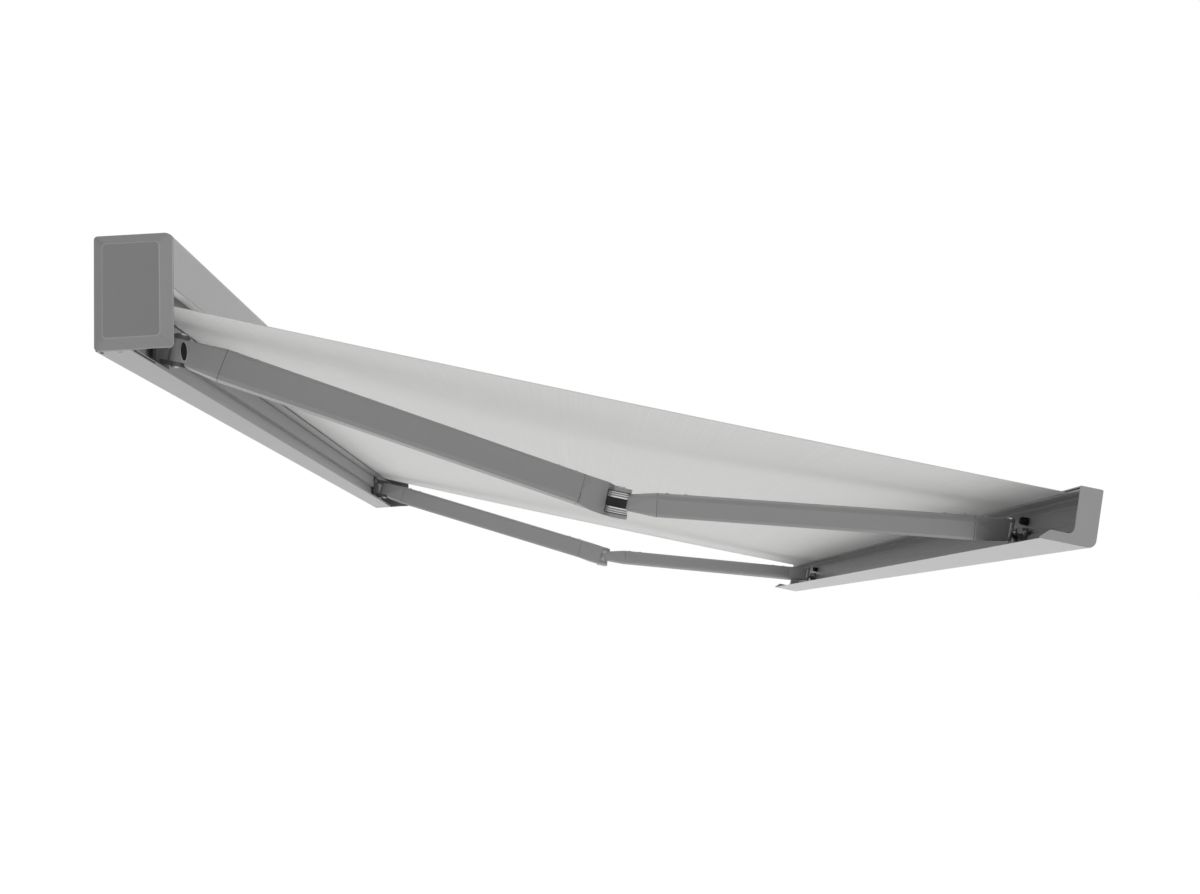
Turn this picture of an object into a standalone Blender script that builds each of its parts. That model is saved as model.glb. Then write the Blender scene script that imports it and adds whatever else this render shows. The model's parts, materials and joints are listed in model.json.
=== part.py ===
"""Folding-arm awning in a closed cassette, modelled open.

Units are metres. X runs along the cassette, +Y points to the wall, +Z is up.
The origin is the middle of the centre wall bracket's back face.
"depth" is measured from the cassette's back towards the street (-Y), and
"height" from the underside of the cassette.
Each arm is modelled folded, where its tubes lie along X, and is then turned
to the open position about its three parallel pivot axes.
"""
import math

import bmesh
import bpy
from mathutils import Matrix, Quaternion, Vector

# Cassette
CASSETTE_WIDTH = 3.523
CASSETTE_DEPTH = 0.168
CASSETTE_HEIGHT = 0.254
ORIGIN_HEIGHT = 0.127
WALL = 0.003
SHEET_WALL = 0.002
VISOR_WALL = 0.0025
VISOR_LIP_HEIGHT = 0.132
VISOR_LIP_DEPTH = 0.014
VISOR_CORNER = 0.012
BOTTOM_PLATE_DEPTH = 0.0535
BOTTOM_STRIP_DEPTH = 0.0205
STRIP_LIP_HEIGHT = 0.009
SHELF_HEIGHT = 0.1155
SHELF_DEPTH = 0.034
LINER_DEPTH = 0.030
LINER_CURVE = 0.038
CARRIER_DEPTH = 0.015
CARRIER_HEIGHT = 0.046
CARRIER_WALL = 0.0025
DEFLECTOR_DEPTH = 0.066
DEFLECTOR_RISE = 0.009
END_PLATE = 0.003
CAP_RIM = 0.004
CAP_BEVEL_WIDTH = 0.024
CAP_BEVEL_RISE = 0.015
CAP_CORNER = 0.008
CAP_FRONT_CORNER = 0.016

# Wall brackets
BRACKET_WIDTH = 0.120
BRACKET_THICKNESS = 0.008
BRACKET_LOW = 0.040
BRACKET_HIGH = 0.246
BRACKET_SPACING = 1.450
BRACKET_BOLT_RADIUS = 0.009
BRACKET_BOLT_SPACING = 0.070

# Roller
ROLLER_DEPTH = 0.075
ROLLER_HEIGHT = 0.185
ROLLER_RADIUS = 0.0425
ROLLER_WALL = 0.0015
ROLL_RADIUS = 0.0485
ROLLER_END_GAP = 0.022
MOTOR_RADIUS = 0.029
MOTOR_LENGTH = 0.620
MOTOR_HEAD_RADIUS = 0.036
IDLER_PIN_RADIUS = 0.008
IDLER_LENGTH = 0.050

# Fabric
FABRIC_WIDTH = 3.356
FABRIC_THICKNESS = 0.0012
FABRIC_SLOPE = 15.45
FABRIC_OFFSET = 0.0504
HEM_ROD_RADIUS = 0.0026

# Arms
SLOPE = 15.15
AXIS_LEAN = 7.67
SHOULDER_INSET = 0.2676
SHOULDER_DEPTH = 0.0915
SHOULDER_HEIGHT = 0.0575
UPPER_LENGTH = 1.1233
FORE_LENGTH = 0.9670
UPPER_OPEN = 78.19
FORE_OPEN = 85.35
ELBOW_OFFSET = 0.030
WRIST_OFFSET = 0.0255
UPPER_TUBE_HEIGHT = 0.078
UPPER_TUBE_WIDTH = 0.040
FORE_TUBE_HEIGHT = 0.058
FORE_TUBE_WIDTH = 0.034
TUBE_WALL = 0.0025
TUBE_CHAMFER = 0.009
SHOULDER_CASTING = 0.105
ELBOW_CASTING = 0.098
HUB_CASTING = 0.098
WRIST_CASTING = 0.088
EYE_RADIUS = 0.021
EYE_HALF = 0.0270
LUG_SWEEP = 0.0290
LUG_THICKNESS = 0.010
LUG_FOOT = 0.020
BRACKET_PLATE = 0.007
BRACKET_PLATE_WIDTH = 0.090
BRACKET_DROP = 0.036
SHOULDER_PIN_RADIUS = 0.008
PIN_HEAD = 0.003
PIN_HEAD_RIM = 0.0035
DRUM_RADIUS = 0.029
DRUM_HALF = 0.0285
EAR_RADIUS = 0.030
EAR_THICKNESS = 0.0095
EAR_REACH = 0.020
FORK_SIDE = 0.008
STUB = 0.004
NECK_ROOT = 0.019
NECK_DROP = 0.013
ELBOW_PIN_RADIUS = 0.007
BELT_HALF = 0.0115
BELT_THICKNESS = 0.0028
BELT_WRAP = (-150, 48)
KNUCKLE_RADIUS = 0.0105
KNUCKLE_HALF = 0.0190
WRIST_EAR = 0.0075
WRIST_SIDE = 0.002
WRIST_MOUTH = 0.0095
WRIST_PIN_RADIUS = 0.0050
PRONG_SPACING = 0.009
PRONG_THICKNESS = 0.004
PRONG_HALF = 0.006
PRONG_START = 0.002
SPRING_RADIUS = 0.0100
SPRING_WIRE = 0.0025
SPRING_LENGTH = 0.420
SPRING_TURNS = 18

# Front rail: u runs from its outer face outwards, v up from its underside
RAIL_LENGTH = 3.522
RAIL_CAP = 0.004
RAIL_LEG_WIDTH = 0.0485
RAIL_LEG_HEIGHT = 0.128
RAIL_FOOT_LENGTH = 0.1188
RAIL_FOOT_WALL = 0.003
RAIL_WALL = 0.0025
RAIL_CORNER = 0.015
RAIL_CAP_FOOT = 0.022
RAIL_GROOVE_HEIGHT = 0.117
TEE_SLOT_LOW = 0.022
TEE_SLOT_HIGH = 0.0545
TEE_SLOT_DEPTH = 0.010
TEE_LIP = 0.0105
SWIVEL_DEPTH = 0.0454
SWIVEL_HEIGHT = 0.065
TILT_DEPTH = 0.0265
TILT_BARREL_RADIUS = 0.008
TILT_BARREL_HALF = 0.016
TILT_PIN_RADIUS = 0.004
TILT_LUG = 0.006
RAIL_BRACKET_BASE = 0.004
RAIL_BRACKET_WIDTH = 0.084
LINKAGE_SLACK = 0.0095
BUFFER_RADIUS = 0.010
BUFFER_LENGTH = 0.020
BUFFER_HEIGHT = 0.094

# Clearances
TOUCH = 0.0003
PIN_GAP = 0.00035
TURN_GAP = 0.0015
CLEAR = 0.2

# Colour, roughness and metallic value of each finish
FINISHES = {
    "cassette_paint": ((0.42, 0.42, 0.42), 0.42, 0.30),
    "arm_paint": ((0.38, 0.38, 0.38), 0.42, 0.30),
    "bare_metal": ((0.62, 0.62, 0.62), 0.32, 1.0),
    "dark_casting": ((0.20, 0.20, 0.20), 0.50, 0.40),
    "black_rubber": ((0.02, 0.02, 0.02), 0.75, 0.0),
    "canvas": ((0.80, 0.80, 0.79), 0.90, 0.0),
}

CASSETTE_END = CASSETTE_WIDTH / 2 - CAP_RIM
PROFILE_END = CASSETTE_END - END_PLATE - TOUCH


def finish(name):
    """Return the material of that name, made once."""
    found = bpy.data.materials.get(name)
    if found:
        return found
    colour, roughness, metallic = FINISHES[name]
    material = bpy.data.materials.new(name)
    material.use_nodes = True
    shader = material.node_tree.nodes["Principled BSDF"]
    shader.inputs["Base Color"].default_value = (*colour, 1.0)
    shader.inputs["Roughness"].default_value = roughness
    shader.inputs["Metallic"].default_value = metallic
    material.diffuse_color = (*colour, 1.0)
    return material


# Outlines and solids

def fillet(corners, steps=4):
    """Round the corners (u, v, radius) of a closed outline; radius 0 stays sharp."""
    outline = []
    count = len(corners)
    for index, (u, v, radius) in enumerate(corners):
        here = Vector((u, v))
        if radius == 0:
            outline.append(here)
            continue
        before = (Vector(corners[index - 1][:2]) - here).normalized()
        after = (Vector(corners[(index + 1) % count][:2]) - here).normalized()
        half = before.angle(after) / 2
        centre = here + (before + after).normalized() * (radius / math.sin(half))
        start = here + before * (radius / math.tan(half)) - centre
        end = here + after * (radius / math.tan(half)) - centre
        turn = start.angle_signed(end)
        for step in range(steps + 1):
            outline.append(centre + Matrix.Rotation(-turn * step / steps, 2) @ start)
    return outline


def strip(path, thickness):
    """Outline of a sheet of even thickness whose middle follows an open path."""
    sides = ([], [])
    for index, point in enumerate(path):
        before = path[max(index - 1, 0)]
        after = path[min(index + 1, len(path) - 1)]
        into = (point - before).normalized() if index else (after - point).normalized()
        out = (after - point).normalized() if index < len(path) - 1 else into
        normal = Vector((-(into + out).y, (into + out).x)).normalized()
        reach = thickness / 2 / max(normal.dot(Vector((-into.y, into.x))), 0.3)
        sides[0].append(point + normal * reach)
        sides[1].append(point - normal * reach)
    return sides[0] + sides[1][::-1]


def on_cassette(x, depth, height):
    """World point of a place on the cassette."""
    return Vector((x, -(BRACKET_THICKNESS + TOUCH + depth), height - ORIGIN_HEIGHT))


def on_section(x, u, v):
    """Local point of a section that faces X: u towards the street, v up."""
    return Vector((x, -u, v))


def loft(loops):
    """Join loops of points, each with the same count, into one skin."""
    mesh = bmesh.new()
    rings = [[mesh.verts.new(point) for point in loop] for loop in loops]
    for low, high in zip(rings, rings[1:]):
        for index in range(len(low)):
            following = (index + 1) % len(low)
            mesh.faces.new((low[index], low[following], high[following], high[index]))
    mesh.faces.new(rings[0][::-1])
    mesh.faces.new(rings[-1])
    bmesh.ops.recalc_face_normals(mesh, faces=mesh.faces)
    return mesh


def prism(outline, start, end, place=on_cassette):
    """Extrude an outline along X."""
    return loft([[place(x, *point) for point in outline] for x in (start, end)])


def pipe(outer, inner, start, end, place=on_cassette):
    """Extrude an open-ended tube whose two outlines have the same count of points."""
    loops = [[place(x, *point) for point in outline]
             for x, outline in ((start, outer), (end, outer), (end, inner), (start, inner))]
    mesh = bmesh.new()
    rings = [[mesh.verts.new(point) for point in loop] for loop in loops]
    for low, high in zip(rings, rings[1:] + rings[:1]):
        for index in range(len(low)):
            following = (index + 1) % len(low)
            mesh.faces.new((low[index], low[following], high[following], high[index]))
    bmesh.ops.recalc_face_normals(mesh, faces=mesh.faces)
    return mesh


def turned(profile, frame, segments=24):
    """Turn a profile of (radius, height) about the frame's Z; it starts and ends on the axis."""
    mesh = bmesh.new()
    rings = []
    for radius, height in profile:
        steps = segments if radius else 1
        rings.append([mesh.verts.new(frame @ Vector((
            radius * math.cos(math.tau * step / segments),
            radius * math.sin(math.tau * step / segments), height))) for step in range(steps)])
    for low, high in zip(rings, rings[1:]):
        for step in range(segments):
            following = (step + 1) % segments
            corners = [low[step % len(low)], low[following % len(low)],
                       high[following % len(high)], high[step % len(high)]]
            mesh.faces.new(list(dict.fromkeys(corners)))
    bmesh.ops.recalc_face_normals(mesh, faces=mesh.faces)
    return mesh


def rod(radius, low, high, frame, segments=24):
    """Plain round bar along the frame's Z."""
    return turned([(0, low), (radius, low), (radius, high), (0, high)], frame, segments)


def sleeve(outer, inner, low, high, frame, segments=24):
    """Round tube with open ends along the frame's Z."""
    mesh = bmesh.new()
    rings = []
    for radius, height in ((outer, low), (outer, high), (inner, high), (inner, low)):
        rings.append([mesh.verts.new(frame @ Vector((
            radius * math.cos(math.tau * step / segments),
            radius * math.sin(math.tau * step / segments), height))) for step in range(segments)])
    for near, far in zip(rings, rings[1:] + rings[:1]):
        for step in range(segments):
            following = (step + 1) % segments
            mesh.faces.new((near[step], near[following], far[following], far[step]))
    bmesh.ops.recalc_face_normals(mesh, faces=mesh.faces)
    return mesh


def block(low, high, frame=Matrix()):
    """Box between two corners of the frame."""
    base = ((low[0], low[1]), (high[0], low[1]), (high[0], high[1]), (low[0], high[1]))
    return loft([[frame @ Vector((*corner, z)) for corner in base] for z in (low[2], high[2])])


def hull(*meshes):
    """Smallest convex solid around the meshes, which it uses up."""
    mesh = bmesh.new()
    for source in meshes:
        for vertex in source.verts:
            mesh.verts.new(vertex.co)
        source.free()
    result = bmesh.ops.convex_hull(mesh, input=mesh.verts)
    unused = [item for item in result["geom_interior"] + result["geom_unused"]
              if isinstance(item, bmesh.types.BMVert)]
    bmesh.ops.delete(mesh, geom=list(dict.fromkeys(unused)), context="VERTS")
    bmesh.ops.recalc_face_normals(mesh, faces=mesh.faces)
    return mesh


def combine(operation, body, *tools):
    """Join, cut or keep the common part of solids, one tool after the other."""
    for tool in tools:
        pair = []
        for label, mesh in (("body", body), ("tool", tool)):
            data = bpy.data.meshes.new(label)
            mesh.to_mesh(data)
            mesh.free()
            pair.append(bpy.data.objects.new(label, data))
            bpy.context.collection.objects.link(pair[-1])
        modifier = pair[0].modifiers.new("combine", "BOOLEAN")
        modifier.operation = operation
        modifier.object = pair[1]
        bpy.context.view_layer.update()
        shown = pair[0].evaluated_get(bpy.context.evaluated_depsgraph_get())
        body = bmesh.new()
        body.from_mesh(shown.to_mesh())
        bmesh.ops.remove_doubles(body, verts=body.verts, dist=1e-6)
        bmesh.ops.dissolve_degenerate(body, edges=body.edges, dist=1e-6)
        for item in pair:
            data = item.data
            bpy.data.objects.remove(item)
            bpy.data.meshes.remove(data)
    return body


def make(name, mesh, material, parent=None, mirrored=False):
    """Turn a mesh into a named piece; a mirrored one is the right-hand twin."""
    if mirrored:
        bmesh.ops.scale(mesh, vec=(-1, 1, 1), verts=mesh.verts)
        bmesh.ops.reverse_faces(mesh, faces=mesh.faces)
    data = bpy.data.meshes.new(name)
    mesh.to_mesh(data)
    mesh.free()
    data.materials.append(finish(material))
    data.shade_smooth()
    data.set_sharp_from_angle(angle=math.radians(32))
    piece = bpy.data.objects.new(name, data)
    bpy.context.collection.objects.link(piece)
    piece.parent = parent
    return piece


def pivot(name, place, turn=Quaternion(), parent=None):
    """Empty on a joint's axis that carries what turns about it."""
    empty = bpy.data.objects.new(name, None)
    empty.location = place
    empty.rotation_mode = "QUATERNION"
    empty.rotation_quaternion = turn
    empty.parent = parent
    bpy.context.collection.objects.link(empty)
    return empty


# Linkage

OUTWARD = Vector((0, -math.cos(math.radians(SLOPE)), -math.sin(math.radians(SLOPE))))
UPRIGHT = Vector((0, -math.sin(math.radians(SLOPE)), math.cos(math.radians(SLOPE))))
INWARD = Vector((1, 0, 0))
LEAN = math.radians(AXIS_LEAN)
AXIS = UPRIGHT * math.cos(LEAN) - INWARD * math.sin(LEAN)
ACROSS = INWARD * math.cos(LEAN) + UPRIGHT * math.sin(LEAN)
PIVOT_FRAME = Matrix((ACROSS, OUTWARD, AXIS)).transposed().to_4x4()


def arm_vector(length, angle, way):
    """Step along an arm: way is +1 inwards on the upper arm, -1 outwards on the forearm."""
    reach = length * math.cos(LEAN)
    flat = ACROSS * (way * math.cos(angle)) + OUTWARD * math.sin(angle)
    return flat * reach - AXIS * (way * length * math.sin(LEAN))


UPPER_FOLDED_ANGLE = math.asin(ELBOW_OFFSET / (UPPER_LENGTH * math.cos(LEAN)))
FORE_FOLDED_ANGLE = math.asin((ELBOW_OFFSET + WRIST_OFFSET) / (FORE_LENGTH * math.cos(LEAN)))
UPPER_OPEN_ANGLE = math.radians(UPPER_OPEN)
FORE_OPEN_ANGLE = math.radians(FORE_OPEN)
SHOULDER_TURN = UPPER_OPEN_ANGLE - UPPER_FOLDED_ANGLE
WRIST_TURN = FORE_OPEN_ANGLE - FORE_FOLDED_ANGLE
SHOULDER = on_cassette(SHOULDER_INSET - CASSETTE_WIDTH / 2, SHOULDER_DEPTH, SHOULDER_HEIGHT)
ELBOW_STEP = arm_vector(UPPER_LENGTH, UPPER_FOLDED_ANGLE, 1)
WRIST_STEP = arm_vector(FORE_LENGTH, FORE_FOLDED_ANGLE, -1)
TILT_STEP = OUTWARD * (SWIVEL_DEPTH - TILT_DEPTH)
WRIST_OPEN = (SHOULDER + arm_vector(UPPER_LENGTH, UPPER_OPEN_ANGLE, 1)
              + arm_vector(FORE_LENGTH, FORE_OPEN_ANGLE, -1))
TILT_OPEN = WRIST_OPEN + TILT_STEP


def mirrored_point(point, right):
    """The point itself, or its twin on the right-hand side."""
    return Vector((-point.x, point.y, point.z)) if right else point


def mirrored_turn(angle, right):
    """Turn about the arm's pivot axis, or about its twin on the right-hand side."""
    axis = Vector((-AXIS.x, AXIS.y, AXIS.z)) if right else AXIS
    return Quaternion(axis, -angle if right else angle)


# Tube sections

def tube_section(width, height, inset=0.0):
    """Outline of an arm tube: a tall box with long chamfers."""
    u, v = width / 2 - inset, height / 2 - inset
    cut = TUBE_CHAMFER - inset * 0.6
    return [Vector(point) for point in (
        (u, v - cut), (u - cut * 0.7, v), (cut * 0.7 - u, v), (-u, v - cut),
        (-u, cut - v), (cut * 0.7 - u, -v), (u - cut * 0.7, -v), (u, cut - v))]


def arm_tube(width, height, start, end, shift):
    """Hollow extrusion along X, with its middle moved by shift."""
    mesh = pipe(tube_section(width, height), tube_section(width, height, TUBE_WALL),
                start, end, on_section)
    mesh.transform(Matrix.Translation(shift))
    return mesh


def tube_end(width, height, x, shift):
    """Short stub with a tube's outline, for a casting that meets the tube."""
    mesh = prism(tube_section(width, height), x, x + STUB, on_section)
    mesh.transform(Matrix.Translation(shift))
    return mesh


# Cassette pieces

def back_profile():
    """Back wall, bottom plate, shelf and top hook in one extrusion."""
    top = CASSETTE_HEIGHT - VISOR_WALL - TOUCH
    corners = [
        (BOTTOM_PLATE_DEPTH, 0, 0), (BOTTOM_PLATE_DEPTH, WALL, 0), (WALL, WALL, 0.002),
        (WALL, SHELF_HEIGHT, 0), (SHELF_DEPTH, SHELF_HEIGHT, 0),
        (SHELF_DEPTH, SHELF_HEIGHT + WALL, 0), (WALL, SHELF_HEIGHT + WALL, 0),
        (WALL, top - WALL, 0.002), (0.020, top - WALL, 0), (0.020, top, 0), (0, top, 0),
        (0, 0, 0.0015)]
    return prism(fillet(corners, 2), -PROFILE_END, PROFILE_END)


def visor_profile():
    """Top and front sheet with its turned-in lower lip."""
    top = CASSETTE_HEIGHT - VISOR_WALL / 2
    front = CASSETTE_DEPTH - VISOR_WALL / 2
    low = VISOR_LIP_HEIGHT
    path = fillet([(0.0, top, 0), (front, top, VISOR_CORNER), (front, low, 0.004),
                 (front - VISOR_LIP_DEPTH, low, 0.003),
                 (front - VISOR_LIP_DEPTH, low + 0.009, 0)])
    return prism(strip(path, VISOR_WALL), -PROFILE_END, PROFILE_END)


def bottom_strip():
    """Separate closing strip in front of the bottom plate, with an upright lip."""
    start = BOTTOM_PLATE_DEPTH + TOUCH
    end = start + BOTTOM_STRIP_DEPTH
    corners = [(start, 0, 0), (end, 0, 0.0015), (end, STRIP_LIP_HEIGHT, 0),
               (end - SHEET_WALL, STRIP_LIP_HEIGHT, 0), (end - SHEET_WALL, WALL, 0.001),
               (start, WALL, 0)]
    return prism(fillet(corners, 2), -PROFILE_END, PROFILE_END)


def bay_liner():
    """Hollow-curved rear wall of the arm bay."""
    front = BOTTOM_PLATE_DEPTH + BOTTOM_STRIP_DEPTH - SHEET_WALL - TOUCH
    low = WALL + TOUCH + SHEET_WALL / 2
    high = SHELF_HEIGHT - TOUCH
    path = fillet([(front, low, 0), (LINER_DEPTH, low, LINER_CURVE), (LINER_DEPTH, high, 0)], 8)
    return prism(strip(path, SHEET_WALL), -PROFILE_END, PROFILE_END)


def carrier_rail():
    """Square-cornered hollow rail under the shelf that carries both shoulders."""
    back = LINER_DEPTH + SHEET_WALL / 2 + TOUCH
    high = SHELF_HEIGHT - TOUCH
    outer, inner = ([Vector(point) for point in (
        (back + gap, high - CARRIER_HEIGHT + gap),
        (back + CARRIER_DEPTH - gap, high - CARRIER_HEIGHT + gap),
        (back + CARRIER_DEPTH - gap, high - gap), (back + gap, high - gap))]
        for gap in (0.0, CARRIER_WALL))
    return pipe(outer, inner, -PROFILE_END, PROFILE_END)


def fabric_deflector():
    """Bent sheet on the shelf that keeps leaves off the arms."""
    low = SHELF_HEIGHT + WALL + TOUCH + SHEET_WALL / 2
    path = fillet([(WALL + 0.002, low, 0), (DEFLECTOR_DEPTH - 0.012, low, 0.010),
                 (DEFLECTOR_DEPTH, low + DEFLECTOR_RISE, 0)], 3)
    return prism(strip(path, SHEET_WALL), -PROFILE_END, PROFILE_END)


def cap_outline(inset):
    """Cassette outline, smaller all round by the inset."""
    low, high = inset, CASSETTE_HEIGHT - inset
    back, front = inset, CASSETTE_DEPTH - inset
    return fillet([(back, low, CAP_CORNER), (front, low, CAP_CORNER),
                   (front, high, CAP_FRONT_CORNER - inset * 0.3), (back, high, CAP_CORNER)], 4)


def end_cap():
    """Cast end cap: a rim, a wide bevel and a raised flat panel."""
    x_values = (CASSETTE_END, CASSETTE_WIDTH / 2, CASSETTE_WIDTH / 2 + CAP_BEVEL_RISE)
    insets = (0.0, 0.0, CAP_BEVEL_WIDTH)
    return loft([[on_cassette(-x, *point) for point in cap_outline(inset)]
                 for x, inset in zip(x_values, insets)])


def end_plate():
    """Steel plate inside the cap, with the slot and the hole in its lower edge."""
    outer = CASSETTE_END - TOUCH
    body = prism(cap_outline(0.0), -outer, -outer + END_PLATE - TOUCH)
    slot = block((-0.020, -0.016, -0.004), (0.020, 0.016, 0.005),
                 Matrix.Translation(on_cassette(-outer, 0.120, 0.0)))
    return combine("DIFFERENCE", body, slot)


def wall_bracket(x):
    """Hooked plate that the cassette hangs on."""
    wall = -BRACKET_THICKNESS
    half = BRACKET_WIDTH / 2
    corners = [(wall - TOUCH, BRACKET_LOW, 0.002), (-TOUCH, BRACKET_LOW, 0.002),
               (-TOUCH, BRACKET_HIGH, 0.002), (wall - TOUCH, BRACKET_HIGH, 0.002)]
    body = prism(fillet(corners, 2), x - half, x + half)
    frame = Matrix.Translation(on_cassette(x, wall / 2, (BRACKET_LOW + BRACKET_HIGH) / 2))
    frame = frame @ Matrix.Rotation(math.pi / 2, 4, "X")
    for side in (-1, 1):
        hole = rod(BRACKET_BOLT_RADIUS, -0.02, 0.02,
                   frame @ Matrix.Translation((0, side * BRACKET_BOLT_SPACING, 0)), 16)
        body = combine("DIFFERENCE", body, hole)
    return body


# Roller pieces

def roller_frame():
    """Frame whose Z runs along the roller, towards +X."""
    return (Matrix.Translation(on_cassette(0, ROLLER_DEPTH, ROLLER_HEIGHT))
            @ Matrix.Rotation(math.pi / 2, 4, "Y"))


ROLLER_END = PROFILE_END - ROLLER_END_GAP


def roller_tube():
    """Grooveless round steel tube."""
    return sleeve(ROLLER_RADIUS, ROLLER_RADIUS - ROLLER_WALL, -ROLLER_END, ROLLER_END,
                  roller_frame(), 40)


def fabric_roll():
    """Turns of fabric that stay on the roller when the awning is open."""
    return sleeve(ROLL_RADIUS, ROLLER_RADIUS + TOUCH, -FABRIC_WIDTH / 2, FABRIC_WIDTH / 2,
                  roller_frame(), 40)


def motor():
    """Tubular motor and its fixed head, at the right-hand end."""
    end = PROFILE_END - TOUCH
    head = ROLLER_END + 0.002
    profile = [(0, end), (MOTOR_HEAD_RADIUS, end), (MOTOR_HEAD_RADIUS, head), (MOTOR_RADIUS, head),
               (MOTOR_RADIUS, end - MOTOR_LENGTH), (0, end - MOTOR_LENGTH)]
    return turned(profile, roller_frame(), 24)


def drive_wheel():
    """Wheel on the motor's shaft end that turns the tube."""
    start = PROFILE_END - TOUCH - MOTOR_LENGTH - TOUCH
    return rod(ROLLER_RADIUS - ROLLER_WALL - TOUCH, start - 0.030, start, roller_frame(), 40)


def idler_plug():
    """Plug in the roller's left end, bored for the idler pin."""
    return sleeve(ROLLER_RADIUS - ROLLER_WALL - TOUCH, IDLER_PIN_RADIUS + PIN_GAP,
                  -ROLLER_END, -ROLLER_END + IDLER_LENGTH, roller_frame(), 40)


def idler_pin():
    """Fixed pin from the left end plate into the plug."""
    end = -(PROFILE_END - TOUCH)
    collar = -ROLLER_END - 0.002
    profile = [(0, end), (0.022, end), (0.022, collar), (IDLER_PIN_RADIUS, collar),
               (IDLER_PIN_RADIUS, collar + IDLER_LENGTH), (0, collar + IDLER_LENGTH)]
    return turned(profile, roller_frame(), 24)


# Fabric

def canopy():
    """Flat taut sheet from the underside of the roll to the rail's groove."""
    slope = math.radians(FABRIC_SLOPE)
    along = Vector((math.cos(slope), -math.sin(slope)))
    upward = Vector((math.sin(slope), math.cos(slope)))
    roll = Vector((ROLLER_DEPTH, ROLLER_HEIGHT))
    start = roll - upward * FABRIC_OFFSET
    hem = Vector((-TILT_OPEN.y - BRACKET_THICKNESS - TOUCH, TILT_OPEN.z + ORIGIN_HEIGHT))
    hem += rail_shift(-RAIL_LEG_WIDTH - TOUCH, RAIL_GROOVE_HEIGHT)
    length = (hem - start).dot(along)
    outline = [start, start + along * length, start + along * length + upward * FABRIC_THICKNESS,
               start + upward * FABRIC_THICKNESS]
    return prism(outline, -FABRIC_WIDTH / 2, FABRIC_WIDTH / 2)


# Shoulder, arm and elbow pieces, each about its own pivot

def shoulder_bracket():
    """Bracket with two lugs that hold the shoulder pin."""
    back = (LINER_DEPTH + SHEET_WALL / 2 + TOUCH + CARRIER_DEPTH + TOUCH) - SHOULDER_DEPTH
    low = EYE_HALF + TOUCH
    plate_top = SHELF_HEIGHT - SHOULDER_HEIGHT - 0.002
    face = -back - BRACKET_PLATE
    half = BRACKET_PLATE_WIDTH / 2
    body = block((-half, face, -BRACKET_DROP), (half, -back, plate_top))
    for side in (1, -1):
        ends = sorted((side * low, side * (low + LUG_THICKNESS)))
        lug = rod(EYE_RADIUS, *ends, PIVOT_FRAME)
        middle = side * (low + LUG_THICKNESS / 2)
        seat = face + BRACKET_PLATE / 2
        along = (seat - middle * AXIS.y) / OUTWARD.y
        foot = block((-LUG_FOOT, along - 0.0015, ends[0]), (LUG_FOOT, along + 0.0015, ends[1]),
                     PIVOT_FRAME)
        body = combine("UNION", body, hull(lug, foot))
    return bored(body, SHOULDER_PIN_RADIUS)


def headed_pin(radius, low, high, frame=PIVOT_FRAME):
    """Pin along the frame's Z with a low head at each end."""
    head = radius + PIN_HEAD_RIM
    profile = [(0, low - PIN_HEAD), (head, low - PIN_HEAD), (head, low), (radius, low),
               (radius, high), (head, high), (head, high + PIN_HEAD), (0, high + PIN_HEAD)]
    return turned(profile, frame, 20)


def bored(body, radius, frame=PIVOT_FRAME):
    """Cut a pivot bore right through."""
    return combine("DIFFERENCE", body, rod(radius + PIN_GAP, -CLEAR, CLEAR, frame))


def relieved(body, radius, half, frame=PIVOT_FRAME):
    """Cut a casting back above and below its eye, where its neighbour's ears turn."""
    for ends in ((half, CLEAR), (-CLEAR, -half)):
        body = combine("DIFFERENCE", body, rod(radius + TURN_GAP, *ends, frame, 32))
    return body


FORE_SHIFT = OUTWARD * ELBOW_OFFSET


def shoulder_casting():
    """Eye on the shoulder pin, blended into the upper tube's section."""
    end = tube_end(UPPER_TUBE_WIDTH, UPPER_TUBE_HEIGHT, SHOULDER_CASTING - STUB, Vector())
    eye = rod(EYE_RADIUS, -EYE_HALF, EYE_HALF, PIVOT_FRAME)
    body = relieved(hull(end, eye), LUG_SWEEP, EYE_HALF)
    return bored(body, SHOULDER_PIN_RADIUS)


def upper_tube():
    """Upper arm extrusion between its two castings."""
    return arm_tube(UPPER_TUBE_WIDTH, UPPER_TUBE_HEIGHT, SHOULDER_CASTING + TOUCH,
                    ELBOW_STEP.x - ELBOW_CASTING - TOUCH, Vector())


def open_room(radius, half, start, end, corners, frame):
    """Round room about a pivot axis, from one angle to another, opened through the corners."""
    steps = 12
    angles = [start + (end - start) * step / steps for step in range(steps + 1)]
    outline = [(radius * math.cos(angle), radius * math.sin(angle)) for angle in angles]
    return loft([[frame @ Vector((*point, height)) for point in outline + corners]
                 for height in (-half, half)])


def elbow_fork():
    """Casting with two ears, open to the front and to the side where the forearm folds."""
    outer = DRUM_HALF + TOUCH + EAR_THICKNESS
    frame = Matrix.Translation(ELBOW_STEP) @ PIVOT_FRAME
    end = tube_end(UPPER_TUBE_WIDTH, UPPER_TUBE_HEIGHT, ELBOW_STEP.x - ELBOW_CASTING, Vector())
    body = hull(end, rod(EAR_RADIUS, -outer, outer, frame, 32))
    neck_room = block((-CLEAR, -FORK_SIDE, -CLEAR), (-EAR_REACH, CLEAR, CLEAR), frame)
    radius = DRUM_RADIUS + TURN_GAP
    start = math.pi + math.asin(FORK_SIDE / radius) - 0.05
    corners = [(0, -CLEAR), (CLEAR, -CLEAR), (CLEAR, CLEAR), (radius * math.cos(start), CLEAR)]
    drum_room = open_room(radius, DRUM_HALF + TOUCH, start, 1.5 * math.pi, corners, frame)
    body = relieved(combine("DIFFERENCE", body, neck_room, drum_room), EAR_RADIUS, outer, frame)
    return bored(body, ELBOW_PIN_RADIUS, frame)


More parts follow.
